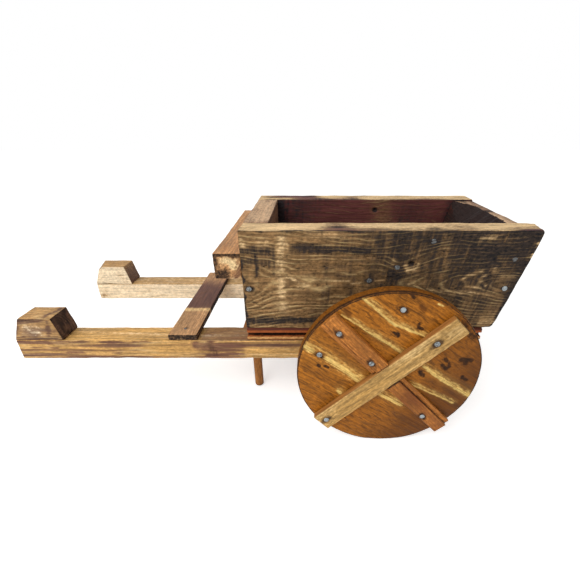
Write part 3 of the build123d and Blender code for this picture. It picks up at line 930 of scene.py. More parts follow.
# Strokes, each with its finish, its start, end and reach in millimetres, and its amount.
# These lie along the outside of the right side board and down from its top.
RIGHT_BOARD_MARKS = (
    (CHAR, (72, 24), (176, 28), 9, 0.75),
    (CHAR, (4, 137), (112, 136), 9, 0.75),
    (CHAR, (330, 22), (360, 28), 15, 1.0),
    (CHAR, (338, 30), (348, 46), 12, 1.0),
    (CHAR, (382, 6), (401, 6), 12, 0.9),
    (CHAR, (205, 60), (216, 66), 10, 0.85),
    (CHAR, (21, 20), (21, 66), 4, 0.7),
    (CHAR, (2, 25), (42, 28), 12, 0.68),
    (CHAR, (2, 42), (38, 47), 9, 0.6),
    (CHAR, (352, 28), (380, 36), 12, 0.8),
    (CHAR, (45, 30), (46, 60), 5, 0.65),
    (CHAR, (119, 70), (119, 110), 4, 0.55),
    (CHAR, (248, 13), (262, 13), 10, 0.75),
    (CHAR, (0, 20), (0, 150), 3, 0.95),
    (BARE, (57, 8), (54, 118), 9, 0.6),
    (BARE, (53, 98), (52, 114), 12, 0.5),
    (BARE, (28, 16), (36, 17), 8, 0.45),
    (BARE, (4, 14), (6, 18), 5, 0.6),
    (BARE, (95, 6), (140, 7), 6, 0.4),
    (BARE, (320, 12), (338, 10), 6, 0.42),
    (BARE, (398, 18), (398, 19), 5, 0.8),
    (BARE, (394, 35), (393, 37), 4, 0.8),
    (BARE, (350, 52), (351, 57), 3.5, 0.5),
    (BARE, (360, 64), (376, 66), 4.5, 0.42),
    (BARE, (226, 76), (248, 75), 6, 0.4),
    (BARE, (352, 139), (366, 138), 9, 0.5),
    (BARE, (62, 66), (92, 78), 3.2, 1.0),
    (BARE, (92, 78), (76, 81), 3.0, 1.0),
    (BARE, (334, 56), (317, 63), 2.6, 0.5),
    (BARE, (317, 63), (310, 71), 2.6, 0.6),
    (BARE, (310, 71), (318, 80), 2.6, 0.6),
    (BARE, (318, 80), (338, 86), 2.6, 0.5),
    (BARE, (340, 62), (329, 72), 2.4, 0.45),
    (BARE, (329, 72), (340, 81), 2.4, 0.45),
    (BARE, (262, 85), (300, 89), 2.6, 0.5),
    (BARE, (300, 89), (352, 93), 2.6, 0.5),
    (BARE, (100, 72), (148, 74), 2.4, 0.6),
    (BARE, (150, 76), (196, 72), 2.2, 0.5),
    (BARE, (225, 48), (229, 56), 2.6, 0.7),
    (BARE, (229, 56), (240, 54), 2.8, 0.8),
    (BARE, (240, 54), (242, 46), 2.4, 0.6),
    (BARE, (206, 44), (209, 45), 4, 0.5),
)

# Along the top of the right side board and in from its outside
RIGHT_RIM_MARKS = (
    (STAIN, (0, 6), (20, 12), 11, 0.5),
    (STAIN, (112, 4), (182, 8), 8, 0.4),
    (STAIN, (192, 12), (268, 6), 9, 0.45),
    (STAIN, (374, 12), (402, 22), 15, 0.5),
    (BARE, (344, 14), (362, 22), 7, 0.9),
)

# Painted shade in the inner corners of the left side board, by the rear end and along the leaning front
# end: strokes along its inside and down from its top
LEFT_BOARD_CORNER_SHADE = (
    (CHAR, (34, 0), (52, 150), 24, 0.85),
    (CHAR, (372, 0), (334, 150), 24, 0.8),
)


def scorch_side_board(board, outer, inner, along, drop, full_length):
    """Scorch a side board's faces at places along it and below its top, and rub its top bare."""
    top = board.facing(2, 1)
    still = np.zeros(len(along))
    bars = drift(np.c_[along / 9, still, drop / 90], 5) + drift(np.c_[along / 27, still, drop / 160], 6)
    forward = along / full_length
    board.paint(CHAR, outer * (0.24 + 0.096 * bars + 0.66 * forward * (1 - drop / 300)))
    board.paint(CHAR, outer * 0.75 * bump(drop, 5) * (0.7 + 0.6 * board.lumps(16, 16, 16, 12)))
    board.paint(STAIN, inner * (0.95 - 0.42 * stroke(along, drop, (224, 0), (234, 38), 27)))
    board.paint(CHAR, inner * (0.22 + 0.3 * board.lumps(70, 30, 50, 8)))
    patch = board.lumps(44, 30, 40, 9)
    board.paint(BARE, top * (0.68 + 0.8 * patch))
    board.paint(STAIN, top * (0.14 - 0.9 * patch))
    board.paint(CHAR, top * (0.16 + 0.7 * board.lumps(22, 9, 20, 10)))
    edging = top * bump(board.points[:, 1], 4.5)
    edging = edging * np.clip(0.55 + 1.1 * board.lumps(24, 24, 24, 15), 0, 1)
    board.marks[:, BARE] *= 1 - 0.7 * edging
    board.paint(CHAR, 0.75 * edging)
    board.singe(0.7)


def side_board(side):
    """One long side of the tray, whose front edge leans forward."""
    node = f"{side}_side_board"
    low, high = extent(node)
    size = high - low
    is_near = side == "right"
    arris, relief, waviness = wear()
    rake, skew, nose = millimetres("tray", "rake", "skew", "nose")
    if not is_near:
        skew = 0
    lean = math.atan2(rake, size[2])
    tip = size[0] + nose * (1 / math.tan(math.pi / 4 - lean / 2) - 1) - skew

    def run(points):
        """Length of the board where each point is."""
        return tip + skew * points[:, 1] / size[1] - rake * (1 - points[:, 2] / size[2])

    def place(points):
        return np.c_[points[:, 0] * run(points) / size[0], points[:, 1:]] + low

    def worn_nose(points):
        drop = np.minimum(points[:, 2], size[2] - points[:, 2])
        return (nose - arris) * bump(np.hypot(size[0] - points[:, 0], drop), 9)

    board = block(size, (2.6, 2.6, 1.15), arris, SEEDS[node], worn_nose)
    if is_near:
        board.grow((-42, 70), 4.5, 3.5, knots=((233, 103, 13),), bow=(150, 6.5))
    else:
        board.grow((70, 62), 4.6, 9)
    along = place(board.points)[:, 0] - low[0]
    drop = size[2] - board.points[:, 2]
    outer, inner = board.facing(1, SIDES[side]), board.facing(1, -SIDES[side])
    scorch_side_board(board, outer, inner, along, drop, size[0])
    end_grain = board.facing(0, 1) * (0.5 + 0.4 * board.lumps(14, 14, 14, 16))
    if is_near:
        board.paint(CHAR, end_grain)
        board.paint(CHAR, outer * 0.95 * bump(run(board.points) - along, 9))
        board.strokes(along, drop, RIGHT_BOARD_MARKS, outer)
        board.strokes(along, board.points[:, 1], RIGHT_RIM_MARKS, board.facing(2, 1))
        board.dent(along, drop, (233, 47), 3.6, 7 * outer)
    else:
        board.paint(BARE, end_grain)
        # Painted shade darkens the left board's inner corners
        board.strokes(along, drop, LEFT_BOARD_CORNER_SHADE, inner)
        board.dent(along, drop, (216, 20), 4.5, 4 * inner)
    board.halos(place, fasteners("tray_nails", "old_nails"), np.array((1.0, 0, 0)), (9, 6.5))
    board.brush(relief).warp(waviness)
    board.make(node, "cart", "charred_board", place)


def rear_end_board():
    """The upright rear end of the tray."""
    arris, relief, waviness = wear()
    low, high = extent("rear_end_board")
    size = (high - low)[[1, 0, 2]]
    board = block(size, (3, 3, 1.6), arris, SEEDS["rear_end_board"]).grow((60, 40), 5.5)
    front, top = board.facing(1, 1), board.facing(2, 1)
    board.paint(STAIN, 0.3 - 0.1 * front)
    board.paint(CHAR, front * (0.15 + 0.3 * board.lumps(60, 40, 40, 6)))
    board.paint(BARE, top * (0.68 + 0.45 * board.lumps(40, 20, 20, 7)))
    board.brush(relief).warp(waviness)
    board.make("rear_end_board", "cart", "stained_board", across_cart(low))


def front_end_board():
    """The leaning front end of the tray, with wane left on its inner arris."""
    arris, relief, waviness = wear()
    low, high = extent("front_end_board")
    corners = np.array([v.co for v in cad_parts["front_end_board"].data.vertices]) / MM
    foot = corners[corners[:, 2] < low[2] + 1, 0]
    lean = high[0] - foot.max()
    size = (high[1] - low[1], np.ptp(foot), high[2] - low[2])

    def place(points):
        x = foot.min() + points[:, 1] + lean * points[:, 2] / size[2]
        return np.stack((x, low[1] + points[:, 0], low[2] + points[:, 2]), -1)

    board = block(size, (1.6, 1.8, 1.6), arris, SEEDS["front_end_board"]).grow((50, 70), 5)
    wane_far, wane_near, growth = millimetres("tray", "wane_far", "wane_near", "wane_growth")
    grown = 1 - np.clip(1 - (size[0] - board.points[:, 0]) / growth, 0, 1) ** 2
    ragged = board.lumps(9, 60, 60, 5) * 2.5 + board.lumps(3.5, 60, 60, 6)
    wane = wane_far + (wane_near - wane_far) * grown + ragged * (0.4 + 1.2 * grown)
    board.cut((0, 1, -1), (wane - size[2]) / math.sqrt(2))
    inside, outside = board.facing(1, -1), board.facing(1, 1)
    flat_top = np.clip((board.out[:, 2] - 0.8) * 8, 0, 1)
    on_wane = board.facing(2, 1) - flat_top
    board.paint(CHAR, inside * (0.62 + 0.3 * board.lumps(40, 30, 30, 7)))
    board.paint(STAIN, inside * 0.9)
    board.paint(CHAR, outside * (0.42 + 0.25 * board.lumps(30, 30, 60, 8)))
    board.paint(CHAR, on_wane * 1.2)
    board.paint(STAIN, on_wane * 1.2)
    board.paint(BARE, flat_top * (0.42 + 0.5 * board.lumps(30, 20, 20, 9)))
    board.paint(CHAR, flat_top * (0.36 + 0.7 * board.lumps(14, 9, 20, 10)))
    board.brush(relief).warp(waviness)
    board.make("front_end_board", "cart", "stained_board", place)


def floor_section(width, height, has_tongue):
    """Section of a floor board, with its groove at 0 and its tongue, if it has one, at its width."""
    groove, depth, slack, bevel = millimetres(
        "tray", "groove_height", "groove_depth", "groove_slack", "floor_bevel"
    )
    edge = width - (depth - slack if has_tongue else 0)
    middle, half = height / 2, groove / 2
    tongue = half - slack
    section = [(0, bevel), (bevel, 0), (edge, 0)]
    if has_tongue:
        section += [(edge, middle - tongue), (width, middle - tongue)]
        section += [(width, middle + tongue), (edge, middle + tongue)]
    section += [(edge, height), (bevel, height), (0, height - bevel)]
    section += [(0, middle + half), (depth, middle + half)]
    section += [(depth, middle - half), (0, middle - half)]
    return section


def floor_board(name):
    """One of the tongue-and-groove boards under the tray."""
    node = f"{name}_floor_board"
    arris, _, waviness = wear()
    low, high = extent(node)
    run, width, height = high - low
    section = floor_section(width, height, has_tongue=name != "left")
    board = stick(section, run, (6, 3), arris, SEEDS[node]).grow((40, 60), 6)
    inwards, rise = board.points[:, 1], board.points[:, 2]
    board.paint(STAIN, 0.8 * np.clip((rise - 0.8 * height) / 2, 0, 1) + 0.15)
    # Painted shade at mid-height away from the groove side's face: in the groove, on the tongue, and along
    # the left board's far edge, which has no tongue
    board.paint(CHAR, bump(rise - height / 2, 5) * np.clip(inwards - 0.3, 0, 1))
    board.paint(BARE, 0.75 * bump(rise - 4.5, 3) * (inwards < 1))
    board.warp(waviness * 0.6)
    board.make(node, "cart", "floor_wood", along_cart(low))


# Handles and legs

# Across a sawn end of the rear beam and up from its underside
BEAM_END_MARKS = (
    (CHAR, (0, 4), (14, 8), 12, 1.0),
    (CHAR, (0, 39), (38, 39), 8, 1.0),
    (CHAR, (0, 0), (0, 38), 9, 0.95),
    (STAIN, (32, 4), (37, 20), 9, 0.9),
)

# Along the outside of the right shaft and down from its top
RIGHT_SHAFT_MARKS = (
    (STAIN, (0, 3), (206, 4), 3.2, 0.95),
    (STAIN, (64, 20), (97, 23), 4, 0.9),
    (STAIN, (137, 21), (157, 24), 4, 0.8),
    (STAIN, (20, 13), (60, 14), 2.2, 0.7),
    (STAIN, (276, 8), (330, 20), 9, 0.95),
    (STAIN, (288, 27), (322, 28), 5, 0.9),
    (STAIN, (382, 12), (470, 16), 2.5, 0.6),
    (STAIN, (298, 6), (301, 28), 11, 1.0),
    (STAIN, (308, 14), (350, 9), 5, 1.0),
    (STAIN, (0, 2), (40, 3), 3, 0.8),
    (CHAR, (296, 10), (302, 24), 8, 0.55),
)

# Along the inside of the left shaft and down from its top
LEFT_SHAFT_MARKS = ((STAIN, (8, 26), (16, 18), 8, 0.6),)

# Along the outside of the right grip and up from the shaft
RIGHT_GRIP_MARKS = (
    (STAIN, (12, 33), (32, 36), 6, 1.0),
    (STAIN, (3, 14), (12, 30), 7, 0.9),
    (STAIN, (50, 6), (64, 3), 6, 0.8),
    (BARE, (30, 26), (44, 21), 8, 0.4),
    (BARE, (18, 10), (46, 8), 4, 0.38),
    (STAIN, (24, 16), (44, 15), 3, 0.5),
    (STAIN, (0, 34), (44, 36), 8, 1.0),
    (STAIN, (0, 4), (50, 2), 5, 1.0),
    (STAIN, (2, 6), (4, 30), 6, 1.0),
    (STAIN, (52, 10), (60, 30), 6, 0.9),
    (CHAR, (0, 34), (40, 36), 5, 0.45),
    (BARE, (22, 22), (38, 15), 7, 0.5),
)

# Along the top of the right grip and in from its outside
RIGHT_GRIP_TOP_MARKS = ((STAIN, (52, 4), (60, 36), 5, 0.9),)

# Along the inside of the left grip and up from the shaft
LEFT_GRIP_MARKS = ((STAIN, (60, 4), (52, 20), 9, 0.42),)


def rear_beam():
    """The square beam across the outside of the rear end."""
    arris, relief, waviness = wear()
    low, high = extent("rear_beam")
    size = (high - low)[[1, 0, 2]]
    beam = block(size, (3, 1.6, 1.6), arris, SEEDS["rear_beam"]).grow((14, 26), 4.4, 4)
    end = np.abs(beam.out[:, 0])
    beam.paint(BARE, end * (0.72 + 0.5 * beam.lumps(9, 9, 9, 6)))
    beam.strokes(beam.points[:, 1], beam.points[:, 2], BEAM_END_MARKS, end)
    beam.paint(STAIN, beam.facing(2, -1) * 0.7 + beam.facing(1, -1) * 0.3)
    beam.singe(0.5)
    beam.brush(relief * 0.6).warp(waviness)
    beam.make("rear_beam", "cart", "beam_wood", across_cart(low))


def cross_slat():
    """The flat slat nailed across the shafts, dark beyond a pale band."""
    arris, relief, waviness = wear()
    low, high = extent("cross_slat")
    size = (high - low)[[1, 0, 2]]
    place = across_cart(low)
    pale_band, dark_end = 79.0, 196.0
    slat = block(size, (2, 1.6, 1.6), arris * 0.7, SEEDS["cross_slat"]).grow((20, -40), 4.2, 5)
    along = slat.points[:, 0]
    dark = np.clip((along - pale_band - 4) / 3, 0, 1) * np.clip((dark_end - along) / 60 + 0.5, 0, 1)
    before = np.clip((pale_band - along) / 4, 0, 1)
    slat.paint(STAIN, dark * (0.9 + 0.15 * slat.lumps(30, 15, 15, 6)))
    slat.paint(BARE, 0.75 * bump(along - pale_band, 7))
    slat.paint(BARE, 0.4 * before * (0.5 + 0.5 * slat.lumps(40, 20, 20, 7)))
    slat.paint(CHAR, slat.facing(0, -1) * 0.95 + slat.facing(0, 1) * 0.7)
    slat.singe(0.6)
    # Painted shade on the slat's forward side edge
    slat.paint(CHAR, slat.facing(1, 1) * 0.75)
    slat.halos(place, fasteners("slat_nails"), np.array((0, 1.0, 0)), (5, 4), 0.7)
    slat.brush(relief * 0.6).warp(waviness * 0.6)
    slat.make("cross_slat", "cart", "slat_wood", place)


def shaft(side):
    """One of the long shafts."""
    node = f"{side}_shaft"
    sign = SIDES[side]
    arris, relief, waviness = wear()
    low, high = extent(node)
    pole = block(high - low, (4, 1.9, 1.5), arris, SEEDS[node]).grow((-20 * sign, 24), 5.2, 7)
    along, drop = pole.points[:, 0], (high - low)[2] - pole.points[:, 2]
    top = pole.facing(2, 1)
    streaks = pole.lumps(170, 12, 3.2, 6)
    if side == "right":
        gold = np.maximum(
            0.7 * stroke(along, drop, (206, 14), (262, 16), 17),
            0.85 * stroke(along, drop, (356, 22), (470, 25), 12),
        )
        dark = 0.56 + 0.5 * streaks + 0.25 * pole.lumps(50, 9, 2.0, 8)
        pole.paint(STAIN, (1 - top) * (1 - gold) * dark)
        pale_sides, pale_top = 0.35 * pole.lumps(190, 12, 2.6, 7), 0.45 * pole.lumps(90, 7, 9, 9)
        pole.paint(BARE, (1 - top) * pale_sides + top * pale_top)
        pole.strokes(along, drop, RIGHT_SHAFT_MARKS, pole.facing(1, sign), 2.0)
        pole.paint(STAIN, top * 0.6 * np.clip((along - 275) / 8, 0, 1))
    else:
        pole.paint(BARE, 1.0 + 0.1 * streaks - 0.7 * top)
        pole.paint(STAIN, top * (0.28 + 0.3 * streaks))
        pole.strokes(along, drop, LEFT_SHAFT_MARKS, pole.facing(1, -sign), 2.0)
    pole.paint(CHAR, np.abs(pole.out[:, 0]) * 0.7)
    pole.paint(STAIN, pole.facing(2, -1) * 0.4)
    pole.singe(0.45)
    pole.brush(relief * 0.7).warp(waviness, 110)
    pole.make(node, "cart", "shaft_wood", along_cart(low))


def taper_grip(grip, side, size):
    """Saw a grip block's slopes, and the left one's bevel, and give how far up it each point was."""
    rear_slope, front_slope, left_slope, bevel, bevel_end = millimetres(
        "grip", "rear_slope", "front_slope", "left_slope", "bevel", "bevel_end"
    )
    rise, outward = grip.points[:, 2] / size[2], grip.points[:, 1] / size[1]
    rear = rear_slope + (left_slope - rear_slope) * (outward if side == "left" else 0)
    squeeze = 1 - rise * (rear + front_slope) / size[0]
    grip.points[:, 0] = grip.points[:, 0] * squeeze + rear * rise
    if side == "left":
        corner = np.array((rear_slope, 0, size[2]))
        start = corner + np.array((bevel, 0, 0))
        fall = corner - bevel * corner / np.linalg.norm(corner) - start
        across = np.array((left_slope + bevel_end, size[1], size[2])) - start
        normal = np.cross(fall, across)
        grip.cut(normal, start @ normal / np.linalg.norm(normal))
    return rise


def grip(side):
    """The tapered block on the rear end of a shaft."""
    node = f"{side}_grip"
    sign = SIDES[side]
    is_near = side == "right"
    arris, relief, waviness = wear()
    low, high = extent(node)
    size = high - low
    lump = block(size, (1.5, 1.8, 1.5), arris, SEEDS[node]).grow((-8 * sign, 14), 5, 6)
    rise = taper_grip(lump, side, size)
    along, across, lift = lump.points.T
    front, back = lump.facing(0, 1), lump.facing(0, -1)
    outer, inner = lump.facing(1, sign), lump.facing(1, -sign)
    lump.paint(STAIN, outer * (0.35 + 0.35 * lump.lumps(16, 9, 9, 7)))
    lump.paint(CHAR, front * ((0.62 if is_near else 0.2) + 0.3 * lump.lumps(40, 5, 12, 8)))
    lump.paint(STAIN, front * (0.8 if is_near else 0.95 - 0.5 * rise) + back * 0.8)
    if is_near:
        lump.strokes(along, lift, RIGHT_GRIP_MARKS, outer)
        lump.strokes(along, across, RIGHT_GRIP_TOP_MARKS, lump.facing(2, 1))
    else:
        lump.paint(BARE, inner * (0.95 + 0.3 * lump.lumps(20, 10, 12, 6)))
        lump.strokes(along, lift, LEFT_GRIP_MARKS, inner)
    lump.singe(0.7 if is_near else 0.3)
    lump.brush(relief * 0.7).warp(waviness, 30)
    lump.make(node, "cart", "grip_wood", along_cart(low))


def leg(side):
    """One of the round legs."""
    node = f"{side}_leg"
    arris, _, waviness = wear()
    low, high = extent(node)
    radius = (high[0] - low[0]) / 2
    facets = 24
    turn = np.arange(facets) / facets * TURN
    ring = radius * np.stack((np.cos(turn) + 1, np.sin(turn) + 1), -1)
    dowel = stick(ring, high[2] - low[2], (3, 20), 2 * arris, SEEDS["legs"]).grow((-10, 5), 4, 3)
    dowel.paint(STAIN, 0.15 + 0.3 * dowel.lumps(40, 8, 8, 6))
    dowel.paint(CHAR, 0.9 * np.clip(1 - dowel.points[:, 0] / 6, 0, 1))
    dowel.warp(waviness * 0.5)
    dowel.make(node, "cart", "leg_wood", upright(low))


def leg_rail():
    """The rail that holds the legs, drawn only between the shafts."""
    arris, _, waviness = wear()
    low, high = extent("leg_rail")
    shaft_face = extent("left_shaft")[0][1]
    size = (2 * shaft_face, high[0] - low[0], high[2] - low[2])
    rail = block(size, (4, 2.5, 2.5), arris, SEEDS["leg_rail"]).grow((50, -20), 5)
    rail.paint(STAIN, 0.5 + 0.3 * rail.lumps(50, 20, 20, 6)).warp(waviness)
    rail.make("leg_rail", "cart", "leg_wood", across_cart(np.array((low[0], -shaft_face, low[2]))))


# Wheels

# Along the planks of a disc and across them from the axle, seen from outside the right wheel
DISC_MARKS = (
    (BARE, (-104, 73), (-72, 69), 2.2, 1.0),
    (BARE, (-72, 69), (-44, 67), 2.4, 1.0),
    (BARE, (-44, 67), (-2, 76), 2.2, 1.0),
    (BARE, (-112, 39), (-60, 38.5), 1.6, 1.0),
    (BARE, (-60, 38.5), (-10, 38), 2.2, 1.0),
    (BARE, (-125, -28), (-78, -28), 5.4, 1.0),
    (BARE, (-78, -28), (-28, -31), 4.8, 1.0),
    (BARE, (30, 38), (68, 36), 2.6, 1.0),
    (BARE, (68, 36), (120, 37), 3.4, 1.0),
    (BARE, (35, 5), (112, 14), 1.5, 0.95),
    (BARE, (10, -35), (52, -33), 3.4, 0.95),
    (BARE, (-40, -64), (-34, -65), 3.0, 1.0),
    (BARE, (-22, 121), (-15, 122), 1.4, 0.9),
    (CHAR, (-22, 86), (-19, 81), 2.6, 1.0),
    (CHAR, (-19, 81), (-13, 82), 2.3, 1.0),
    (CHAR, (-40, 57), (-36, 56), 2.8, 1.0),
    (CHAR, (-35, 58), (-31, 55), 2.5, 1.0),
    (CHAR, (65, 76), (76, 83), 4.0, 1.0),
    (CHAR, (71, 79), (74, 75), 4.4, 1.0),
    (CHAR, (46, 65), (49, 64), 3.4, 1.0),
    (CHAR, (54, 63), (59, 58), 2.9, 0.9),
    (CHAR, (50, 54), (57, 53), 4.3, 1.0),
    (CHAR, (33, 28), (36, 26), 3.4, 1.0),
    (CHAR, (39, 28), (41, 26), 3.0, 0.9),
    (CHAR, (87, 57), (89, 54), 3.2, 1.0),
    (CHAR, (92, 55), (96, 55), 3.4, 1.0),
    (STAIN, (-38, 107), (-31, 106), 4.5, 0.8),
    (CHAR, (-60, 112), (-53, 110), 3.2, 0.9),
    (STAIN, (-112, 47), (-105, 45), 5.0, 0.9),
    (CHAR, (-90, -43), (-87, -43), 2.4, 1.0),
    (CHAR, (-81, -39), (-76, -39), 2.4, 1.0),
    (STAIN, (75, 55), (110, 40), 3.0, 0.5),
    # Painted shadow on the face beside the batten's high end
    (CHAR, (26, 119), (50, 111), 7.0, 0.7),
    (CHAR, (-122, 16), (-112, 11), 5.0, 0.85),
)

# A faint glow along all but the thinnest pale streaks: how much wider than a streak it is, how strong,
# how far up the face it is moved, in millimetres, and the least reach of a streak that has one
GLOW_WIDTH = 2.4
GLOW_AMOUNT = 0.5
GLOW_RISE = 3.5
GLOW_LEAST = 1.5
DISC_GLOW = tuple(
    (BARE, start, end, GLOW_WIDTH * reach, GLOW_AMOUNT)
    for finish, start, end, reach, _ in DISC_MARKS
    if finish == BARE and reach >= GLOW_LEAST
)


def paint_disc(plank, side, radius, thickness):
    """Streak the face of a wheel plank, and scorch its rim."""
    u, v, depth = plank.points.T
    if side == "left":
        u = -u
    front, back = plank.facing(2, 1), plank.facing(2, -1)
    middle = np.hypot(u, v)
    wall = np.clip((middle - radius + 4) / 3, 0, 1) * (1 - front) * (1 - back)
    plank.strokes(u, v - GLOW_RISE, DISC_GLOW, front, wander=1.0, broken=0.3)
    plank.strokes(u, v, DISC_MARKS, front, wander=1.3, broken=0.3)
    # The face darkens towards its lower right
    plank.paint(STAIN, front * (0.08 + 0.9 * np.clip(u / radius, -0.1, 1)))
    scorched = np.clip(np.cos(np.arctan2(v, u) - math.radians(165)) * 2.0, 0, 1)
    outermost = np.clip((depth - 0.55 * thickness) / 5, 0, 1)
    plank.paint(CHAR, wall * outermost * (0.25 + 0.55 * scorched))
    plank.paint(STAIN, wall * 0.55)
    # Painted shade in a thin dark ring along the rounded edge of the face
    plank.paint(CHAR, front * 0.85 * np.clip((middle - radius + 3) / 1.5, 0, 1))
    plank.paint(STAIN, back * 0.35)


def disc(side):
    """Three planks sawn to a disc."""
    arris, relief, waviness = wear()
    lower, upper = millimetres("wheel", "lower_joint", "upper_joint")
    turn = settings("wheel").plank_angle
    radius = wheel_radius()
    start, stop = outward_span(f"{side}_wheel_middle_plank")
    thickness = stop - start
    place = wheel_place(side, turn, start)
    heads = fasteners(f"{side}_wheel_nails")
    bands = {"lower": (-radius, lower), "middle": (lower, upper), "upper": (upper, radius)}
    for name, (bottom, top) in bands.items():
        node = f"{side}_wheel_{name}_plank"
        plank = disc_plank(radius, bottom, top, thickness, (2.4, 1.3, 2.2), 1.4 * arris, SEEDS[node])
        plank.grow(((top + bottom) / 2 + 30, -38), 7.5, 8)
        paint_disc(plank, side, radius, thickness)
        plank.halos(place, heads, grain_of_wheel(turn), (10, 6))
        plank.brush(relief * 0.7).warp(waviness * 0.6, 50)
        plank.make(node, f"{side}_wheel", "wheel_wood", place)


def batten(side):
    """The long pale batten across the face of a wheel."""
    node = f"{side}_wheel_batten"
    arris, relief, waviness = wear()
    offset, width, low_margin, high_margin = millimetres(
        "wheel", "batten_offset", "batten_width", "batten_low_margin", "batten_high_margin"
    )
    turn = settings("wheel").batten_angle
    radius = wheel_radius()
    start, stop = outward_span(node)
    size = (2 * radius - low_margin - high_margin, width, stop - start)
    corner = np.array((low_margin - radius, offset - width / 2, 0))
    on_wheel = wheel_place(side, turn, start)

    def place(points):
        return on_wheel(points + corner)

    bar = block(size, (2.2, 1.3, 1.4), arris, SEEDS[node]).grow((60, -30), 6.5, 6)
    bar.paint(STAIN, bar.facing(1, 1) * 0.9 + bar.facing(1, -1) * 0.5)
    bar.paint(BARE, bar.facing(2, 1) * (0.3 + 0.5 * bar.lumps(60, 14, 14, 6)))
    bar.paint(CHAR, np.abs(bar.out[:, 0]) * 0.5)
    bar.singe(0.45)
    bar.halos(place, fasteners(f"{side}_wheel_nails"), grain_of_wheel(turn), (12, 6.5))
    bar.brush(relief * 0.6).warp(waviness * 0.6, 40)
    bar.make(node, f"{side}_wheel", "pale_wood", place)


def brace_section(thickness):
    """Section of a brace with a tongue along one edge, and where the tongue ends."""
    width, tongue, edge, bottom, top = millimetres(
        "wheel", "brace_width", "brace_tongue", "brace_edge", "tongue_bottom", "tongue_top"
    )
    half = width / 2
    step = tongue - half
    section = [(step, bottom), (step, edge), (step + edge, 0), (half - edge, 0), (half, edge)]
    section += [(half, thickness - edge), (half - edge, thickness), (step + edge, thickness)]
    section += [(step, thickness - edge), (step, top), (-half, top), (-half, bottom)]
    return section, step


def brace(side, name):
    """A short brace that butts against a batten from above or below."""
    node = f"{side}_wheel_{name}_brace"
    is_upper = name == "upper"
    arris, _, waviness = wear()
    offset, batten_width, margin = millimetres("wheel", "batten_offset", "batten_width", "brace_margin")
    turn = settings("wheel").batten_angle + math.pi / 2
    start, stop = outward_span(f"{side}_wheel_upper_brace")
    section, step = brace_section(stop - start)
    begin = batten_width / 2 + (offset if is_upper else -offset)
    on_wheel = wheel_place(side, turn + (0 if is_upper else math.pi), start)

    def place(points):
        return on_wheel(np.c_[points[:, 0] + begin, -points[:, 1], points[:, 2]])

    bar = stick(section, wheel_radius() - margin - begin, (2.5, 1.6), arris * 0.7, SEEDS["braces"])
    bar.grow((40, -24), 5.5, 5)
    along, across = bar.points[:, 0], bar.points[:, 1]
    face = (0.0 if is_upper else 0.45) + 0.3 * bar.lumps(40, 9, 9, 6)
    bar.paint(STAIN, np.where(across < step - 0.2, 0.3, face))
    bar.paint(CHAR, 0.9 * np.clip(1 - along / 3, 0, 1))
    # Painted shadow: a dark line along the step down to the tongue
    bar.paint(CHAR, 0.95 * bump(across - step + 0.6, 0.9))
    bar.halos(place, fasteners(f"{side}_wheel_nails"), grain_of_wheel(turn), (10, 6))
    bar.warp(waviness * 0.4, 30)
    bar.make(node, f"{side}_wheel", "red_wood", place)


def cleat(side, name):
    """A cleat across the planks on the back of a wheel."""
    node = f"{side}_wheel_{name}_cleat"
    arris, _, waviness = wear()
    inset, width, margin = millimetres("wheel", "cleat_inset", "cleat_width", "cleat_margin")
    turn = settings("wheel").batten_angle
    radius = wheel_radius()
    start, stop = outward_span(node)
    middle = radius - inset
    bottom, top = middle - width / 2, middle + width / 2
    place = wheel_place(side, turn + (0 if name == "upper" else math.pi), start)
    plank = disc_plank(radius - margin, bottom, top, stop - start, (3, 2, 2.5), arris, SEEDS["cleats"])
    plank.grow((middle + 20, 40), 6).paint(STAIN, 0.25 + 0.25 * plank.lumps(60, 15, 15, 6))
    plank.halos(place, fasteners(f"{side}_wheel_nails"), grain_of_wheel(turn), (6, 4), 0.8)
    plank.warp(waviness)
    plank.make(node, f"{side}_wheel", "wheel_wood", place)


def hub(side):
    """The bored block on the back of a wheel."""
    node = f"{side}_wheel_hub"
    arris, _, waviness = wear()
    size, bevel, bore = millimetres("wheel", "hub_size", "hub_bevel", "hub_bore")
    start, stop = outward_span(node)
    lump = bored_block(size, bevel, bore, stop - start, arris, SEEDS["hubs"]).grow((50, 30), 6)
    lump.paint(STAIN, 0.3 + 0.3 * lump.lumps(30, 20, 20, 6)).warp(waviness * 0.4)
    lump.make(node, f"{side}_wheel", "wheel_wood", wheel_place(side, settings("wheel").batten_angle, start))


# Nails, screws and axle

NAILS = {
    "cart": ("tray_nails", "old_nails", "slat_nails", "floor_nails"),
    "right_wheel": ("right_wheel_nails",),
    "left_wheel": ("left_wheel_nails",),
}
SCREWS = {
    "cart": ("shaft_screws", "grip_screws", "beam_screws"),
    "right_wheel": ("right_wheel_hub_screws",),
    "left_wheel": ("left_wheel_hub_screws",),
}
AXLE_NODES = ("axle_rod", "axle_washers", "axle_nuts", "right_axle_spacer", "left_axle_spacer")

# Each step raises the top of a shank by a share of the head's height, then grows or shrinks it.
# TO_HEAD grows it from the shank's radius to the head's.
TO_HEAD = None
STEPS = {
    "nail": ((0, TO_HEAD), (0.7, 1.0), (0.22, 0.9), (0.08, 0.6)),
    "screw": ((1.0, TO_HEAD), (0, 0.5), (-0.6, 0.8)),
}
FASTENER_INPUTS = {
    "Points": "NodeSocketGeometry",
    "Shank radius": "NodeSocketFloat",
    "Head radius": "NodeSocketFloat",
    "Head height": "NodeSocketFloat",
    "Seed": "NodeSocketInt",
    "Material": "NodeSocketMaterial",
}
FASTENER_SIDES = 18

# How far a fastener may tilt either way, in radians, and how small it may be beside its solid
MOST_TILT = 0.06
LEAST_WIDTH = 0.92

# Weather of a rusty fastener, and the weather past which a nail sits deeper
RUSTY = 0.85
CLEAN = 0.6

# How far below the highest of the tray's nails its top row reaches, in millimetres
TOP_ROW = 12


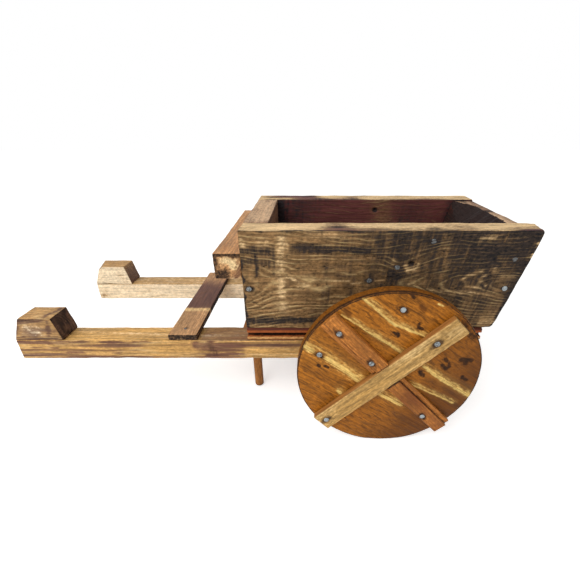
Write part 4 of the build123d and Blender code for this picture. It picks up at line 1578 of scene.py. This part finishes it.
class FastenerGraph(Graph):
    """Adds the nodes that put a fastener on every point."""

    def held_by_point(self, name, kind="FLOAT"):
        """What each point holds under a name."""
        return self.field("GeometryNodeInputNamedAttribute", {"data_type": kind}, Name=name)

    def random(self, low, high, seed):
        """A random number for each point."""
        choices = {"data_type": "FLOAT"}
        return self.field("FunctionNodeRandomValue", choices, 1, Min_001=low, Max_001=high, Seed=seed)

    def turned(self, steps, shank, head, height):
        """A fastener with a short shank and the top of its head at the origin."""
        choices = {"fill_type": "NGON"}
        made = self.node(
            "GeometryNodeMeshCylinder", choices, Vertices=FASTENER_SIDES, Radius=shank, Depth=height * 2
        )
        solid, top = self.fields(made, "Mesh", "Top")
        for rise, growth in steps:
            offset = height * rise
            made = self.node(
                "GeometryNodeExtrudeMesh", {"mode": "FACES"}, Mesh=solid, Selection=top, Offset_Scale=offset
            )
            solid, top = self.fields(made, "Mesh", "Top")
            growth = head / shank if growth is TO_HEAD else growth
            solid = self.field(
                "GeometryNodeScaleElements", {"domain": "FACE"}, Geometry=solid, Selection=top, Scale=growth
            )
        sunk = self.vector(0.0, 0.0, height * -(1 + total_rise(steps)))
        return self.field("GeometryNodeTransform", Geometry=solid, Translation=sunk)

    def mark_tip(self, solid, level):
        """Mark what lies lower than a level as the tip."""
        rise = self.parts(self.field("GeometryNodeInputPosition"))[2]
        choices = {"data_type": "FLOAT", "domain": "POINT"}
        tip = self.math("LESS_THAN", rise, level)
        return self.field("GeometryNodeStoreNamedAttribute", choices, Geometry=solid, Name="tip", Value=tip)


def total_rise(steps):
    """Height of a finished head, as a share of the head's height."""
    return sum(rise for rise, _ in steps if rise > 0)


def fastener_tree(kind):
    """Nodes that put a turned fastener on every point, with its head's top at the point."""
    tree = bpy.data.node_groups.new(f"{kind}_steel", "GeometryNodeTree")
    for title, socket in FASTENER_INPUTS.items():
        tree.interface.new_socket(title, in_out="INPUT", socket_type=socket)
    tree.interface.new_socket("Mesh", in_out="OUTPUT", socket_type="NodeSocketGeometry")
    graph = FastenerGraph(tree)
    given = graph.node("NodeGroupInput")
    points, shank, head, height, seed, material = graph.fields(given, *FASTENER_INPUTS)

    rise = total_rise(STEPS[kind])
    solid = graph.turned(STEPS[kind], shank, head, height)
    solid = graph.mark_tip(solid, height * -(1.5 + rise))
    out = graph.held_by_point("out", "FLOAT_VECTOR")
    upright_turn = graph.field("FunctionNodeAlignRotationToVector", {"axis": "Z"}, Vector=out)
    spin = graph.random(0.0, TURN, seed)
    tilt = graph.random(-MOST_TILT, MOST_TILT, seed + 1)
    twist = graph.field("FunctionNodeEulerToRotation", Euler=graph.vector(tilt, tilt * -1, spin))
    choices = {"rotation_space": "LOCAL"}
    turn = graph.field("FunctionNodeRotateRotation", choices, Rotation=upright_turn, Rotate_By=twist)
    size = graph.held_by_point("width") / head * 0.5 * graph.random(LEAST_WIDTH, 1.0, seed + 2)
    solid = graph.field(
        "GeometryNodeInstanceOnPoints", Points=points, Instance=solid, Rotation=turn, Scale=size
    )
    solid = graph.field("GeometryNodeRealizeInstances", Geometry=solid)
    missing = height * 2 + height * rise - graph.held_by_point("length")
    stretch = graph.scaled(out, graph.held_by_point("tip") * missing)
    solid = graph.field("GeometryNodeSetPosition", Geometry=solid, Offset=stretch)
    solid = graph.field("GeometryNodeSetMaterial", Geometry=solid, Material=material)
    graph.node("NodeGroupOutput", Mesh=solid)
    return tree


def weathered(node, head):
    """How rusty a nail or screw is: old nails, slat nails and the tray's top row more than others."""
    top_row = extent("tray_nails")[1][2] - TOP_ROW
    if node in ("old_nails", "slat_nails") or (node == "tray_nails" and head[2] > top_row):
        return RUSTY
    return 0.45 + 0.22 * hashed(head.round().astype(np.int64)[None], 7)[0]


def fastener_points(kind, nodes):
    """A point for each fastener of these nodes of the frame, holding what the fastener tree reads."""
    found = [(*item, weathered(node, item[0])) for node in nodes for item in fasteners(node)]
    places, outs, lengths, widths, weathers = (np.array(values) for values in zip(*found))
    if kind == "nail":
        sink, rusty_sink = millimetres("steel", "nail_sink", "rusty_sink")
        places = places - outs * (sink + rusty_sink * np.maximum(0, weathers - CLEAN))[:, None]
    mesh = bpy.data.meshes.new(f"{kind}_points")
    mesh.from_pydata((places * MM).tolist(), [], [])
    keep(mesh, "out", outs)
    keep(mesh, "length", lengths * MM)
    keep(mesh, "width", widths * MM)
    keep(mesh, "weather", weathers)
    return mesh


def drive(kind, body, nodes, seed):
    """Drive a kind of fastener wherever the frame has one on a body, as one piece."""
    points = fastener_points(kind, nodes)
    holder = bpy.data.objects.new(points.name, points)
    bpy.context.scene.collection.objects.link(holder)
    modifier = holder.modifiers.new("Fasteners", "NODES")
    modifier.node_group = bpy.data.node_groups.get(f"{kind}_steel") or fastener_tree(kind)
    look = settings("steel")
    values = {
        "Shank radius": getattr(look, f"{kind}_shank"),
        "Head radius": getattr(look, f"{kind}_head"),
        "Head height": getattr(look, f"{kind}_rise"),
        "Seed": seed,
        "Material": finish_of(f"{kind}_steel", steel),
    }
    for socket in modifier.node_group.interface.items_tree:
        if socket.name in values:
            modifier[socket.identifier] = values[socket.name]
    evaluated = holder.evaluated_get(bpy.context.evaluated_depsgraph_get())
    made = bpy.data.meshes.new_from_object(evaluated)
    bpy.data.objects.remove(holder)
    bpy.data.meshes.remove(points)
    made.name = f"{body}_{kind}_set"
    made.shade_smooth()
    made.set_sharp_from_angle(angle=STEEL_CREASE)
    settle(made, body, "nail_steel", *nodes)


def clad_axle():
    """Give the axle and what is on it their steel. Their shapes come from the frame."""
    for node in AXLE_NODES:
        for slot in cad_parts[node].material_slots:
            slot.material = finish_of("axle_steel", steel)


# Stage

WHITE = (1, 1, 1, 1)

# Width of the camera's sensor in millimetres, and how near and far it sees in metres
SENSOR_WIDTH = 36
NEAREST = 0.01
FARTHEST = 50


def white_to_camera(graph):
    """1 for what the camera sees directly, in a mirror or through glass, and 0 for light on the cart."""
    path = graph.node("ShaderNodeLightPath")
    seen, mirrored, through = graph.fields(path, "Is Camera Ray", "Is Glossy Ray", "Is Transmission Ray")
    return (seen + mirrored + through).held()


def light_sky():
    """Light all round, which the camera sees as a white backdrop."""
    scene = bpy.context.scene
    world = scene.world or bpy.data.worlds.new("Studio")
    scene.world = world
    world.use_nodes = True
    world.node_tree.nodes.clear()
    graph = Graph(world.node_tree)
    sky = graph.field("ShaderNodeBackground", Color=WHITE, Strength=settings("stage").sky)
    backdrop = graph.field("ShaderNodeBackground", Color=WHITE, Strength=1.0)
    both = graph.field("ShaderNodeMixShader", Fac=white_to_camera(graph), Shader=sky, Shader_001=backdrop)
    graph.node("ShaderNodeOutputWorld", Surface=both)


def lay_floor():
    """A pale floor that keeps the cart's shadow."""
    look = settings("stage")
    paint = Paint("floor")
    matte = paint.field("ShaderNodeBsdfDiffuse", Color=(*look.floor, 1))
    glow = paint.field("ShaderNodeEmission", Color=WHITE, Strength=look.floor_glow)
    lit = paint.field("ShaderNodeAddShader", Shader=matte, Shader_001=glow)
    both = paint.field("ShaderNodeMixShader", Fac=white_to_camera(paint), Shader=matte, Shader_001=lit)
    paint.node("ShaderNodeOutputMaterial", Surface=both)
    reach = look.floor_reach
    corners = [(-reach, -reach, 0), (reach, -reach, 0), (reach, reach, 0), (-reach, reach, 0)]
    mesh = bpy.data.meshes.new("floor")
    mesh.from_pydata(corners, [], [(0, 1, 2, 3)])
    mesh.materials.append(paint.material)
    floor = bpy.data.objects.new("floor", mesh)
    bpy.context.scene.collection.objects.link(floor)


def hang_lamp():
    """One large soft lamp."""
    look = settings("stage")
    lamp = bpy.data.lights.new("key", "AREA")
    lamp.shape = "RECTANGLE"
    lamp.size = look.key_width
    lamp.size_y = look.key_height
    lamp.energy = look.key
    key = bpy.data.objects.new("key", lamp)
    key.location = look.key_place
    aim = Vector(look.key_target) - Vector(look.key_place)
    key.rotation_euler = aim.to_track_quat("-Z", "Y").to_euler()
    bpy.context.scene.collection.objects.link(key)


def stand_camera():
    """The camera at the photograph's viewing angle."""
    look = settings("stage")
    view = bpy.data.cameras.new("camera")
    view.sensor_width = SENSOR_WIDTH
    view.lens = look.focal_share * SENSOR_WIDTH
    view.shift_x = look.shift
    view.clip_start = NEAREST
    view.clip_end = FARTHEST
    camera = bpy.data.objects.new("camera", view)
    camera.location = look.camera_place
    camera.rotation_euler = (math.pi / 2 - look.camera_pitch, 0, 0)
    bpy.context.scene.collection.objects.link(camera)
    bpy.context.scene.camera = camera


# Operators and panel


class CART_OT_side_boards(bpy.types.Operator):
    """Make the two long sides of the tray"""

    bl_idname = "cart.side_boards"
    bl_label = "Side boards"

    def execute(self, context):
        for side in SIDES:
            side_board(side)
        return {"FINISHED"}


class CART_OT_end_boards(bpy.types.Operator):
    """Make the upright rear end and the leaning front end of the tray"""

    bl_idname = "cart.end_boards"
    bl_label = "End boards"

    def execute(self, context):
        rear_end_board()
        front_end_board()
        return {"FINISHED"}


class CART_OT_floor_boards(bpy.types.Operator):
    """Make the three tongue-and-groove boards under the tray"""

    bl_idname = "cart.floor_boards"
    bl_label = "Floor boards"

    def execute(self, context):
        for name in ("right", "middle", "left"):
            floor_board(name)
        return {"FINISHED"}


class CART_OT_rear_beam(bpy.types.Operator):
    """Make the square beam across the outside of the rear end"""

    bl_idname = "cart.rear_beam"
    bl_label = "Rear beam"

    def execute(self, context):
        rear_beam()
        return {"FINISHED"}


class CART_OT_cross_slat(bpy.types.Operator):
    """Make the flat slat nailed across the shafts"""

    bl_idname = "cart.cross_slat"
    bl_label = "Cross slat"

    def execute(self, context):
        cross_slat()
        return {"FINISHED"}


class CART_OT_shafts(bpy.types.Operator):
    """Make the two long shafts"""

    bl_idname = "cart.shafts"
    bl_label = "Shafts"

    def execute(self, context):
        for side in SIDES:
            shaft(side)
        return {"FINISHED"}


class CART_OT_grips(bpy.types.Operator):
    """Make the tapered blocks on the rear ends of the shafts"""

    bl_idname = "cart.grips"
    bl_label = "Grips"

    def execute(self, context):
        for side in SIDES:
            grip(side)
        return {"FINISHED"}


class CART_OT_legs(bpy.types.Operator):
    """Make the two round legs and the rail that holds them"""

    bl_idname = "cart.legs"
    bl_label = "Legs"

    def execute(self, context):
        for side in SIDES:
            leg(side)
        leg_rail()
        return {"FINISHED"}


class CART_OT_discs(bpy.types.Operator):
    """Make the planks that are sawn to a disc on each wheel"""

    bl_idname = "cart.discs"
    bl_label = "Wheel discs"

    def execute(self, context):
        for side in SIDES:
            disc(side)
        return {"FINISHED"}


class CART_OT_battens(bpy.types.Operator):
    """Make the long pale batten across the face of each wheel"""

    bl_idname = "cart.battens"
    bl_label = "Wheel battens"

    def execute(self, context):
        for side in SIDES:
            batten(side)
        return {"FINISHED"}


class CART_OT_braces(bpy.types.Operator):
    """Make the two short braces that butt against each batten"""

    bl_idname = "cart.braces"
    bl_label = "Wheel braces"

    def execute(self, context):
        for side in SIDES:
            for name in ("upper", "lower"):
                brace(side, name)
        return {"FINISHED"}


class CART_OT_wheel_backs(bpy.types.Operator):
    """Make the two cleats and the hub block on the back of each wheel"""

    bl_idname = "cart.wheel_backs"
    bl_label = "Wheel backs"

    def execute(self, context):
        for side in SIDES:
            for name in ("upper", "lower"):
                cleat(side, name)
            hub(side)
        return {"FINISHED"}


class CART_OT_nails(bpy.types.Operator):
    """Drive the nails of the cart and of each wheel"""

    bl_idname = "cart.nails"
    bl_label = "Nails"

    def execute(self, context):
        for seed, (body, nodes) in enumerate(NAILS.items()):
            drive("nail", body, nodes, seed)
        return {"FINISHED"}


class CART_OT_screws(bpy.types.Operator):
    """Drive the countersunk screws of the cart and of each wheel"""

    bl_idname = "cart.screws"
    bl_label = "Screws"

    def execute(self, context):
        for seed, (body, nodes) in enumerate(SCREWS.items()):
            drive("screw", body, nodes, seed)
        return {"FINISHED"}


class CART_OT_axle(bpy.types.Operator):
    """Give the axle and its fittings their steel"""

    bl_idname = "cart.axle"
    bl_label = "Axle"

    def execute(self, context):
        clad_axle()
        return {"FINISHED"}


class CART_OT_stage(bpy.types.Operator):
    """Set up the pale floor, the soft light and the camera"""

    bl_idname = "cart.stage"
    bl_label = "Stage"

    def execute(self, context):
        context.scene.view_settings.view_transform = "Standard"
        light_sky()
        lay_floor()
        hang_lamp()
        stand_camera()
        return {"FINISHED"}


OPERATORS = (
    CART_OT_side_boards,
    CART_OT_end_boards,
    CART_OT_floor_boards,
    CART_OT_rear_beam,
    CART_OT_cross_slat,
    CART_OT_shafts,
    CART_OT_grips,
    CART_OT_legs,
    CART_OT_discs,
    CART_OT_battens,
    CART_OT_braces,
    CART_OT_wheel_backs,
    CART_OT_nails,
    CART_OT_screws,
    CART_OT_axle,
    CART_OT_stage,
)


class CART_PT_sidebar(bpy.types.Panel):
    """Lists the pieces of the cart"""

    bl_idname = "CART_PT_sidebar"
    bl_label = "Garden cart"
    bl_space_type = "VIEW_3D"
    bl_region_type = "UI"
    bl_category = "Cart"

    def draw(self, context):
        for kind in OPERATORS:
            self.layout.operator(kind.bl_idname)


def register():
    """Add the settings, the operators and the panel to Blender."""
    for name, group in GROUPS.items():
        bpy.utils.register_class(group)
        setattr(bpy.types.Scene, f"cart_{name}", bpy.props.PointerProperty(type=group))
    for kind in (*OPERATORS, CART_PT_sidebar):
        bpy.utils.register_class(kind)


def unregister():
    """Take them away again."""
    for kind in (CART_PT_sidebar, *reversed(OPERATORS)):
        bpy.utils.unregister_class(kind)
    for name, group in reversed(GROUPS.items()):
        delattr(bpy.types.Scene, f"cart_{name}")
        bpy.utils.unregister_class(group)


def main():
    """Make the whole cart, and write the boxes of the frame and of the finished cart."""
    register()
    for kind in OPERATORS:
        getattr(bpy.ops.cart, kind.bl_idname.split(".")[1])()


if __name__ == "__main__":
    main()
